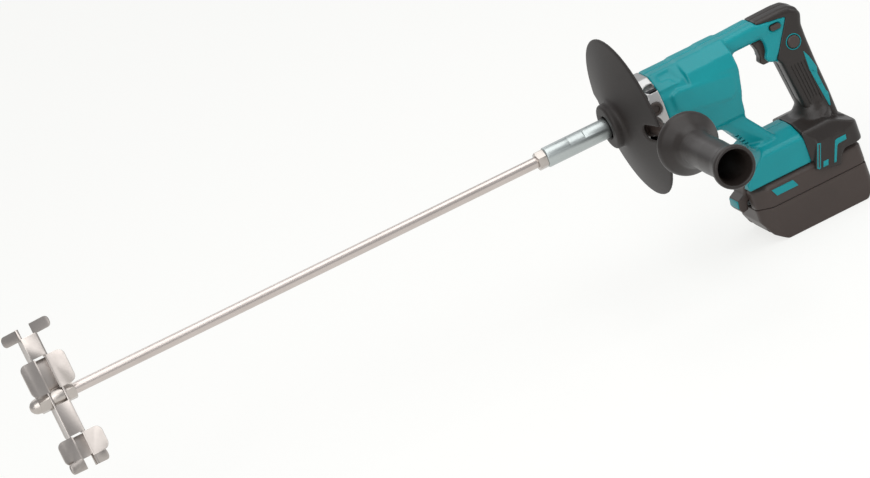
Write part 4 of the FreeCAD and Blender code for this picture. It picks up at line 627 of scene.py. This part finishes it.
@dataclass
class Handle:
    """Teal motor housing with its rear grip, switch loop and dark covers, in millimetres."""

    barrel_top: float = 224.0
    barrel_flat: float = 13.0
    facet_fall: float = 0.833
    joint_plane: float = 131.0
    grip_half: float = 17.0
    recess: Outline = ((124.0, 15.5), (107.2, 15.1), (102.4, 29.0), (110.5, 28.4), (112.5, 24.0),
                       (124.5, 22.4))
    recess_deep: float = 2.0
    recess_tall: float = 14.0
    skin_start: float = 107.0
    skin_section: Outline = ((22.0, 0.0), (31.0, 0.0), (28.5, -3.5), (19.5, -3.5))
    vent_heights: tuple[float, ...] = (120.1, 115.7, 111.6, 107.3)
    vent_foot: tuple[float, float] = (56.0, 108.5)
    vent_lean: float = 0.622
    vent_along: tuple[float, float] = (0.528, 0.849)
    vent_wide: float = 2.0
    vent_reach: tuple[float, float] = (-3.0, 3.6)
    vent_span: tuple[float, float] = (5.0, 19.0)
    strut_ridge: Outline = ((105.0, 34.3), (141.0, 68.1))
    strut_section: Outline = ((0.0, 24.3), (30.0, 5.3), (30.0, 40.0), (0.0, 40.0))
    wall: Outline = ((45.4, 150.0), (46.7, 137.0), (40.2, 128.0), (48.0, 128.0), (53.0, 137.0), (53.0, 150.0))
    wall_half: float = 9.0
    rib_count: int = 5
    rib_top: tuple[float, float] = (-19.5, 164.0)
    rib_low: tuple[float, float] = (-26.5, 110.0)
    rib_pitch: tuple[float, float] = (3.9, 3.5)
    rib_slant: float = 2.0
    rib_wide: float = 1.3
    rib_deep: float = 0.9
    rib_clear: float = 4.0
    ring_gap: float = 1.3
    ring_wire: float = 0.55
    ring_sunk: float = 0.1
    cheek: Outline = ((0.0, 209.0), (-1.5, 199.5), (-1.0, 191.0), (3.0, 183.8), (0.4, 179.2), (-5.9, 176.6),
                      (-14.0, 187.0), (-20.0, 200.0), (-22.0, 209.0))
    cheek_span: tuple[float, float] = (8.6, 16.4)
    leaf_thick: float = 0.4
    upper_leaf: Outline = ((-38.6, 175.0), (-42.6, 167.5), (-47.4, 152.0), (-45.6, 146.4), (-43.8, 147.5),
                           (-38.4, 152.0))
    leaf_waist: Outline = ((-38.5, 152.0), (-47.3, 152.0), (-45.4, 146.4), (-46.9, 132.9), (-41.5, 132.9),
                           (-40.2, 141.0))
    lower_leaf: Outline = ((-41.6, 133.0), (-46.8, 133.0), (-48.2, 124.0), (-50.2, 120.5), (-47.4, 106.0),
                           (-46.0, 107.2))

    def facet(self, y: float) -> float:
        """Gives the height of the barrel's upper facet at a distance y from its middle."""
        return self.barrel_top - self.facet_fall * (y - self.barrel_flat)

    def shoulder_recess(self, side: int) -> bmesh.types.BMesh:
        """Makes the stepped recess in the shoulder behind the gear housing.

        Args:
            side: 1 for the left half, -1 for the right.

        Returns:
            The solid to cut away.
        """
        floor = [(x, side * y, self.facet(y) - self.recess_deep) for x, y in self.recess]
        return sweep(floor, (0.0, 0.0, self.recess_tall))

    def screw_cover(self, side: int) -> bmesh.types.BMesh:
        """Makes the skin over the case screw, flush with the facet.

        Args:
            side: 1 for the left half, -1 for the right.

        Returns:
            The solid to join.
        """
        corners = [(self.skin_start, side * y, self.facet(y) + drop) for y, drop in self.skin_section]
        return sweep(corners, (self.joint_plane - self.skin_start, 0.0, 0.0))

    def strut_vents(self, side: int) -> list[bmesh.types.BMesh]:
        """Makes the row of vents along the strut's lower edge.

        Args:
            side: 1 for the left half, -1 for the right.

        Returns:
            The solids to cut away.
        """
        vents = []
        along = Vector(self.vent_along)
        inward = Vector((-self.vent_along[1], self.vent_along[0]))
        half = self.vent_wide / 2
        out, back = self.vent_reach
        near, far = self.vent_span
        for z in self.vent_heights:
            middle = Vector((self.vent_foot[0] + self.vent_lean * (z - self.vent_foot[1]), z))
            corners = [middle + along * a + inward * b
                       for a, b in ((-half, out), (half, out), (half, back), (-half, back))]
            vents.append(prism([tuple(corner) for corner in corners], side * near, side * far))
        return vents

    def strut_facet(self, side: int) -> bmesh.types.BMesh:
        """Makes the facet that turns the strut's side in towards its front edge.

        Args:
            side: 1 for the left half, -1 for the right.

        Returns:
            The solid to cut away.
        """
        corners = []
        for z, ridge in self.strut_ridge:
            for ahead, y in self.strut_section:
                corners.append((ridge + ahead, side * y, z))
        return hull(corners)

    def lead_wall(self, side: int) -> bmesh.types.BMesh:
        """Makes the thicker wall behind the motor leads, inside the strut.

        Args:
            side: 1 for the left half, -1 for the right.

        Returns:
            The solid to join.
        """
        return prism(self.wall, 0.0, side * self.wall_half)

    def grip_ribs(self, side: int) -> list[bmesh.types.BMesh]:
        """Makes the slanted finger grooves on one side of the grip.

        Args:
            side: 1 for the left cover, -1 for the right.

        Returns:
            The solids to cut away.
        """
        grooves = []
        near, far = side * (self.grip_half - self.rib_deep), side * (self.grip_half + self.rib_clear)
        for i in range(self.rib_count):
            top, low = self.rib_top[0] - self.rib_pitch[0] * i, self.rib_low[0] - self.rib_pitch[1] * i
            outline = [(top, self.rib_top[1]), (top - self.rib_wide, self.rib_top[1] + self.rib_slant),
                       (low - self.rib_wide, self.rib_low[1] + self.rib_slant), (low, self.rib_low[1])]
            grooves.append(prism(outline, near, far))
        return grooves

    def button_ring(self) -> bpy.types.Object:
        """Builds the thin teal ring round the lock button.

        Returns:
            The ring.
        """
        low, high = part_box("lock_button")
        middle = (low + high) / 2
        radius = (high.x - low.x) / 2 + self.ring_gap * MM
        made = bmesh.new()
        at = Matrix.Translation((middle.x + radius, (self.grip_half - self.ring_sunk) * MM, middle.z))
        ring = bmesh.ops.create_circle(made, segments=12, radius=self.ring_wire * MM, matrix=at)
        geom = ring["verts"] + made.edges[:]
        bmesh.ops.spin(made, geom=geom, cent=middle, axis=(0.0, 1.0, 0.0), angle=math.tau, steps=48,
                       use_merge=True)
        bmesh.ops.remove_doubles(made, verts=made.verts, dist=0.01 * MM)
        return show("lock_button_ring", made, TEAL_NYLON, "tool")

    def build(self) -> None:
        """Builds the housing halves, the grip covers and the marks on them."""
        for word, side in SIDES:
            near, far = self.cheek_span
            Moulding("housing_" + word, TEAL_NYLON, cell_mm=1.1, rounds=9,
                     adds=[self.screw_cover(side), prism(self.cheek, side * near, side * far),
                           self.lead_wall(side)],
                     cuts=[self.shoulder_recess(side), self.strut_facet(side)],
                     grooves=self.strut_vents(side)).build()
            cover = Moulding("grip_cover_" + word, SOFT_ELASTOMER, cell_mm=0.8, rounds=16,
                             grooves=self.grip_ribs(side)).build()
            marks = [("upper", self.upper_leaf), ("lower", self.lower_leaf)]
            # on the right a screw well takes the place of the leaf's waist
            if side == 1:
                marks.append(("waist", self.leaf_waist))
            for shape, outline in marks:
                name = "grip_%s_leaf_%s" % (shape, word)
                Inlay(name, outline, TEAL_NYLON, self.leaf_thick, side).build(cover, "tool")
        Moulding("trigger", DARK_NYLON, cell_mm=0.6, rounds=8).build()
        Spring("trigger_spring", "trigger_pull", axis=(1.0, 0.0, 0.0), anchor=(-24.7, 0.0, 190.0),
               keep=0.37).build()
        self.button_ring()


@dataclass
class Base:
    """Dark rear cover of the base with its slots and teal trim, over the battery, in millimetres."""

    half: float = 44.2
    teal_half: float = 37.6
    front: float = 1.0
    front_lap: float = 1.0
    side_clear: float = 4.0
    chamfer_low: tuple[float, float] = (0.6, 60.0)
    chamfer_high: tuple[float, float] = (-21.0, 112.0)
    facet_lap: float = 0.1
    facet_foot: float = 85.0
    facet_section: Outline = ((39.4, 97.6), (36.0, 101.4), (36.0, 116.0), (50.0, 116.0), (50.0, 85.0))
    facet_rear: float = -64.0
    facet_long: float = 70.0
    trim_frame: Outline = ((-43.1, 83.3), (-45.5, 76.8), (-42.3, 72.3), (-36.4, 71.3), (-33.6, 68.0),
                           (-27.6, 52.4), (-17.4, 54.8), (-25.5, 81.8), (-30.1, 85.7), (-36.3, 86.2))
    trim_sunk: float = 2.0
    trim_proud: float = 0.8
    stripe: Outline = ((-42.4, 80.2), (-30.8, 80.0), (-28.8, 78.7), (-20.0, 57.0), (-22.6, 56.6),
                       (-29.6, 73.0), (-31.2, 74.2), (-41.6, 74.9))
    slot_rim: Outline = ((-9.6, 84.4), (-13.4, 83.2), (-4.2, 57.8), (-2.4, 57.0), (-0.4, 59.0))
    slot_core: Outline = ((-10.4, 82.9), (-12.0, 82.3), (-3.3, 59.0), (-1.9, 59.6))
    square: Outline = ((-9.4, 63.2), (-15.6, 63.2), (-13.2, 57.2), (-7.2, 57.4))
    flare: Sequence[tuple[float, float, float, float]] = (
        (-35.6, 126.0, 17.4, 16.6), (-34.6, 116.0, 18.4, 18.0), (-31.5, 109.5, 21.0, 21.5),
        (-27.0, 104.0, 25.0, 27.0), (-26.0, 98.0, 26.0, 28.0))
    grip_heel: Outline = ((-58.5, 86.0), (-58.5, 90.2), (-56.0, 91.8), (-40.0, 99.5), (-40.0, 86.0))
    heel_half: float = 17.4
    pad_at: Place = (84.6, 0.0, 47.6)
    pad_size: Place = (2.0, 22.0, 8.6)
    pad_tilt: float = -8.5
    pad_round: float = 0.8

    def grip_root(self) -> bmesh.types.BMesh:
        """Makes the flared root where the grip runs into the cover.

        Returns:
            The solid to join.
        """
        made = bmesh.new()
        bmesh.ops.create_circle(made, cap_ends=True, segments=40, radius=1.0)
        moved = made.verts[:]
        before = Matrix.Identity(4)
        for i, (x, z, along, across) in enumerate(self.flare):
            grow = Matrix.Diagonal((along * MM, across * MM, 1.0, 1.0))
            now = Matrix.Translation(Vector((x, 0.0, z)) * MM) @ grow
            if i:
                last = next(face for face in made.faces if all(v in moved for v in face.verts))
                grown = bmesh.ops.extrude_face_region(made, geom=[last])["geom"]
                moved = [item for item in grown if isinstance(item, bmesh.types.BMVert)]
            bmesh.ops.transform(made, matrix=now @ before.inverted(), verts=moved)
            before = now
        bmesh.ops.recalc_face_normals(made, faces=made.faces)
        return made

    def front_chamfer(self, side: int) -> bmesh.types.BMesh:
        """Makes the leaning chamfer at the cover's front edge.

        Args:
            side: 1 for the left side, -1 for the right.

        Returns:
            The solid to cut away.
        """
        front, outer = self.front + self.front_lap, self.half + self.side_clear
        corners = []
        for x, z in (self.chamfer_low, self.chamfer_high):
            corners += [(front, side * self.teal_half, z), (front, side * outer, z), (x, side * outer, z)]
        return hull(corners)

    def upper_facet(self, side: int) -> bmesh.types.BMesh:
        """Makes the steep facet along the cover's upper edge.

        Args:
            side: 1 for the left side, -1 for the right.

        Returns:
            The solid to cut away.
        """
        section = [(self.half + self.facet_lap, self.facet_foot), *self.facet_section]
        return sweep([(self.facet_rear, side * y, z) for y, z in section], (self.facet_long, 0.0, 0.0))

    def latch_pad(self) -> bpy.types.Object:
        """Builds the teal thumb pad of the battery's latch.

        Returns:
            The pad.
        """
        made = bmesh.new()
        tilt = Matrix.Rotation(math.radians(self.pad_tilt), 4, "Y")
        grow = Matrix.Diagonal((*(v * MM for v in self.pad_size), 1.0))
        place = Matrix.Translation(Vector(self.pad_at) * MM) @ tilt @ grow
        bmesh.ops.create_cube(made, size=1.0, matrix=place)
        bmesh.ops.bevel(made, geom=made.edges[:], offset=self.pad_round * MM, segments=4, profile=0.5,
                        affect="EDGES", material=-1)
        return show("latch_pad", made, TEAL_NYLON, "latch")

    def build(self) -> None:
        """Builds the cover, its trim and the battery's two cases."""
        cuts, adds = [], [self.grip_root(), prism(self.grip_heel, -self.heel_half, self.heel_half)]
        for _, side in SIDES:
            near, far = side * (self.half - self.trim_sunk), side * (self.half + self.trim_proud)
            adds.append(prism(self.trim_frame, near, far))
            cuts += [self.front_chamfer(side), self.upper_facet(side)]
        cover = Moulding("base_cover", SOFT_ELASTOMER, cell_mm=1.0, rounds=6, cuts=cuts, adds=adds).build()
        trim = (("stripe", self.stripe, TEAL_NYLON, 0.4), ("square", self.square, TEAL_NYLON, 0.35),
                ("slot_rim", self.slot_rim, TEAL_NYLON, 0.3), ("slot_core", self.slot_core, DARK_NYLON, 0.45))
        for word, side in SIDES:
            for shape, outline, finish, thick_mm in trim:
                Inlay("base_%s_%s" % (shape, word), outline, finish, thick_mm, side).build(cover, "tool")
        Moulding("battery_case_lower", DARK_NYLON, cell_mm=1.0, rounds=5).build()
        Moulding("battery_case_upper", DARK_NYLON, cell_mm=0.9, rounds=4).build()
        Moulding("battery_latch", DARK_NYLON, cell_mm=0.7, rounds=4).build()
        Spring("latch_spring", "latch_press", axis=(0.0, 0.0, 1.0), anchor=(67.5, 0.0, 39.5),
               keep=0.56).build()
        self.latch_pad()


@dataclass
class Head:
    """Cast gear housing, splash shield, side handle and the mixing blade's metal, in millimetres."""

    axis: float = 188.0
    stem_height: float = 182.0
    shell: Outline = ((174.44, 36.0), (169.4, 58.2), (162.6, 87.5), (161.8, 89.3), (159.8, 89.3),
                      (159.4, 87.5), (166.4, 58.2), (171.44, 36.0))
    fill_start: float = -24.0
    fill_turn: float = 34.0
    notch_start: float = 66.0
    notch_half: float = 8.8
    notch_lift: float = 5.0
    notch_span: tuple[float, float] = (150.0, 180.0)
    notch_bar: float = 40.0
    notch_outer: float = 110.0
    boss_at: Place = (138.5, 21.0, 210.2)
    boss_half: Place = (12.0, 8.4, 7.6)
    pocket_at: Place = (136.5, 26.0, 215.0)
    pocket_half: Place = (8.0, 6.0, 7.6)
    screw_start: float = 131.4

    def notch_fill(self, side: int) -> bmesh.types.BMesh:
        """Makes the part of the shield's shell that closes the wide notch.

        Args:
            side: 1 for the left side, -1 for the right.

        Returns:
            The solid to join.
        """
        made = bmesh.new()
        corners = [made.verts.new((x * MM, side * r * MM, self.axis * MM)) for x, r in self.shell]
        face = made.faces.new(corners)
        middle = (0.0, 0.0, self.axis * MM)
        bmesh.ops.rotate(made, verts=made.verts, cent=middle,
                         matrix=Matrix.Rotation(side * math.radians(self.fill_start), 3, "X"))
        bmesh.ops.spin(made, geom=made.verts[:] + made.edges[:] + [face], cent=middle, axis=(1.0, 0.0, 0.0),
                       angle=side * math.radians(self.fill_turn), steps=24)
        bmesh.ops.recalc_face_normals(made, faces=made.faces)
        return made

    def stem_notch(self, side: int) -> list[bmesh.types.BMesh]:
        """Makes the round-ended notch that the handle's stem passes through.

        Args:
            side: 1 for the left side, -1 for the right.

        Returns:
            The solids to cut away.
        """
        made = bmesh.new()
        rear, ahead = self.notch_span
        middle = self.stem_height + self.notch_lift
        at = Matrix.Translation(Vector(((rear + ahead) / 2, side * self.notch_start, middle)) * MM)
        bmesh.ops.create_cone(made, cap_ends=True, segments=40, radius1=self.notch_half * MM,
                              radius2=self.notch_half * MM, depth=self.notch_bar * MM,
                              matrix=at @ Matrix.Rotation(math.pi / 2, 4, "Y"))
        low, high = middle - self.notch_half, middle + self.notch_half
        inner, outer = side * self.notch_start, side * self.notch_outer
        slot = sweep([(rear, inner, low), (rear, outer, low), (rear, outer, high), (rear, inner, high)],
                     (ahead - rear, 0.0, 0.0))
        return [made, slot]

    def build(self) -> None:
        """Builds the castings and mouldings in front of the motor."""
        bosses, pockets, fills, notches = [], [], [], []
        for _, side in SIDES:
            turn = (1.0, float(side), 1.0)
            bosses.append(egg(tuple(a * b for a, b in zip(self.boss_at, turn)), self.boss_half))
            pockets.append(egg(tuple(a * b for a, b in zip(self.pocket_at, turn)), self.pocket_half))
            fills.append(self.notch_fill(side))
            notches += self.stem_notch(side)
        Moulding("gear_housing", CAST_ALUMINIUM, cell_mm=0.9, rounds=5, adds=bosses, cuts=pockets).build()
        Moulding("shield", PRESSED_RUBBER, cell_mm=1.0, rounds=5, adds=fills, cuts=notches).build()
        Moulding("side_grip", SOFT_ELASTOMER, cell_mm=1.0, rounds=6).build()
        Moulding("side_grip_spacer", DARK_NYLON, cell_mm=0.8, rounds=3).build()
        Pressing("gear_housing_screws", BLACK_STEEL, edge_mm=0.2, start_x=self.screw_start).build()
        Pressing("impeller", SHEET_STEEL, edge_mm=0.5).build()
        for node in ("impeller_hub", "impeller_rear_nut", "impeller_cap_nut", "shaft_lock_nut"):
            Pressing(node, MACHINED_STEEL, edge_mm=0.4).build()
        Pressing("joint_sleeve", TURNED_STEEL, edge_mm=0.5).build()


@dataclass(frozen=True)
class Softbox:
    """A soft square lamp: its name, place and side in metres, and power in watts."""

    name: str
    place: Place
    size: float
    power: float

    def build(self, aim: Place) -> None:
        """Hangs the lamp so that it faces a point.

        Args:
            aim: The point, in metres.
        """
        data = bpy.data.lights.new(self.name, "AREA")
        data.size = self.size
        data.energy = self.power
        lamp = bpy.data.objects.new(self.name, data)
        lamp.location = self.place
        lamp.rotation_euler = (Vector(aim) - Vector(self.place)).to_track_quat("-Z", "Y").to_euler()
        bpy.context.scene.collection.objects.link(lamp)


LAMPS = (
    Softbox("key_softbox", (2.2, 2.8, 2.0), 3.6, 66.0),
    Softbox("top_softbox", (-0.2, 0.1, 2.6), 2.3, 27.0),
    Softbox("strip_softbox", (0.9, 1.6, 2.4), 1.4, 9.0),
    Softbox("rear_softbox", (-2.4, 1.2, 1.6), 1.8, 16.0),
    Softbox("far_softbox", (0.6, -2.8, 2.0), 2.4, 14.0),
)


@dataclass
class Studio:
    """Pale floor, soft lamps, plain surroundings and the camera, in metres."""

    target: Place = (0.190, 0.0, 0.188)
    toward: Place = (0.26906, 0.90451, 0.33085)
    image_right: Place = (-0.86528, 0.37787, -0.32941)
    image_down: Place = (0.42298, 0.19764, -0.88432)
    distance: float = 4.5
    scale_m: float = 0.001045
    target_pixel: tuple[float, float] = (605.0, 128.8)
    sensor_mm: float = 36.0
    clip_end: float = 200.0
    lamp_aim: Place = (0.3, 0.0, 0.15)
    floor_half: float = 60.0
    floor_drop: float = 0.0005
    floor_glow: float = 0.76
    fill_level: float = 0.27
    gloss_level: float = 0.30

    def camera(self) -> None:
        """Places the camera at the photograph's viewing angle."""
        pixels = self.distance / self.scale_m
        toward, right, down = Vector(self.toward), Vector(self.image_right), Vector(self.image_down)
        across = (IMAGE_SIZE[0] / 2 - self.target_pixel[0]) / pixels
        below = (IMAGE_SIZE[1] / 2 - self.target_pixel[1]) / pixels
        look = (right * across + down * below - toward).normalized()
        side = (right - look * right.dot(look)).normalized()
        up = side.cross(look)
        data = bpy.data.cameras.new("photo_camera")
        data.sensor_width = self.sensor_mm
        data.lens = pixels * data.sensor_width / IMAGE_SIZE[0]
        data.clip_end = self.clip_end
        camera = bpy.data.objects.new("photo_camera", data)
        turn = Matrix((side, up, -look)).transposed().to_4x4()
        camera.matrix_world = Matrix.Translation(Vector(self.target) + toward * self.distance) @ turn
        bpy.context.scene.collection.objects.link(camera)
        bpy.context.scene.camera = camera

    def floor(self) -> None:
        """Lays the pale floor, white to the camera with a soft shadow."""
        made = bmesh.new()
        bmesh.ops.create_grid(made, x_segments=1, y_segments=1, size=self.floor_half)
        bmesh.ops.translate(made, verts=made.verts, vec=(0.0, 0.0, -self.floor_drop))
        mesh = bpy.data.meshes.new("floor")
        made.to_mesh(mesh)
        made.free()
        floor = bpy.data.objects.new("floor", mesh)
        bpy.context.scene.collection.objects.link(floor)
        material = bpy.data.materials.new("pale_floor")
        material.use_nodes = True
        tree = material.node_tree
        tree.nodes.clear()
        path = add(tree, "ShaderNodeLightPath")
        seen = add(tree, "ShaderNodeMath", {"operation": "MAXIMUM"},
                   {0: path.outputs["Is Camera Ray"], 1: path.outputs["Is Glossy Ray"]})
        plain = add(tree, "ShaderNodeBsdfDiffuse", {"Color": linear("#e4e4e2")})
        dim = add(tree, "ShaderNodeBsdfDiffuse", {"Color": linear("#8c8c8b")})
        glow = add(tree, "ShaderNodeEmission", {"Color": linear("#fffffd"), "Strength": self.floor_glow})
        bright = add(tree, "ShaderNodeAddShader", None, {0: dim.outputs[0], 1: glow.outputs[0]})
        both = add(tree, "ShaderNodeMixShader", None,
                   {0: seen.outputs[0], 1: plain.outputs[0], 2: bright.outputs[0]})
        add(tree, "ShaderNodeOutputMaterial", None, {"Surface": both.outputs[0]})
        mesh.materials.append(material)

    def sky(self) -> None:
        """Sets plain light all round, white to the camera and paler in gloss."""
        world = bpy.data.worlds.new("studio")
        bpy.context.scene.world = world
        world.use_nodes = True
        tree = world.node_tree
        tree.nodes.clear()
        path = add(tree, "ShaderNodeLightPath")
        level = add(tree, "ShaderNodeMath",
                    {"operation": "MULTIPLY_ADD", 1: self.gloss_level, 2: self.fill_level},
                    {0: path.outputs["Is Glossy Ray"]})
        fill = add(tree, "ShaderNodeBackground", {"Color": linear("#f2f4f6")}, {"Strength": level.outputs[0]})
        white = add(tree, "ShaderNodeBackground", {"Color": linear("#fffffd"), "Strength": 1.0})
        mix = add(tree, "ShaderNodeMixShader", None,
                  {0: path.outputs["Is Camera Ray"], 1: fill.outputs[0], 2: white.outputs[0]})
        add(tree, "ShaderNodeOutputWorld", None, {"Surface": mix.outputs[0]})

    def build(self) -> None:
        """Sets the whole studio up."""
        self.camera()
        self.floor()
        self.sky()
        for lamp in LAMPS:
            lamp.build(self.lamp_aim)
        bpy.context.scene.view_settings.view_transform = "Standard"


def main() -> None:
    """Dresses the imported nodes, adds the visual pieces and sets the studio."""
    logging.basicConfig(level=logging.INFO, format="%(message)s")
    for name, finish in NODE_FINISH.items():
        paint(frame["nodes"][name], finish)
    for part in (Handle(), Base(), Head(), Studio()):
        part.build()


if __name__ == "__main__":
    main()
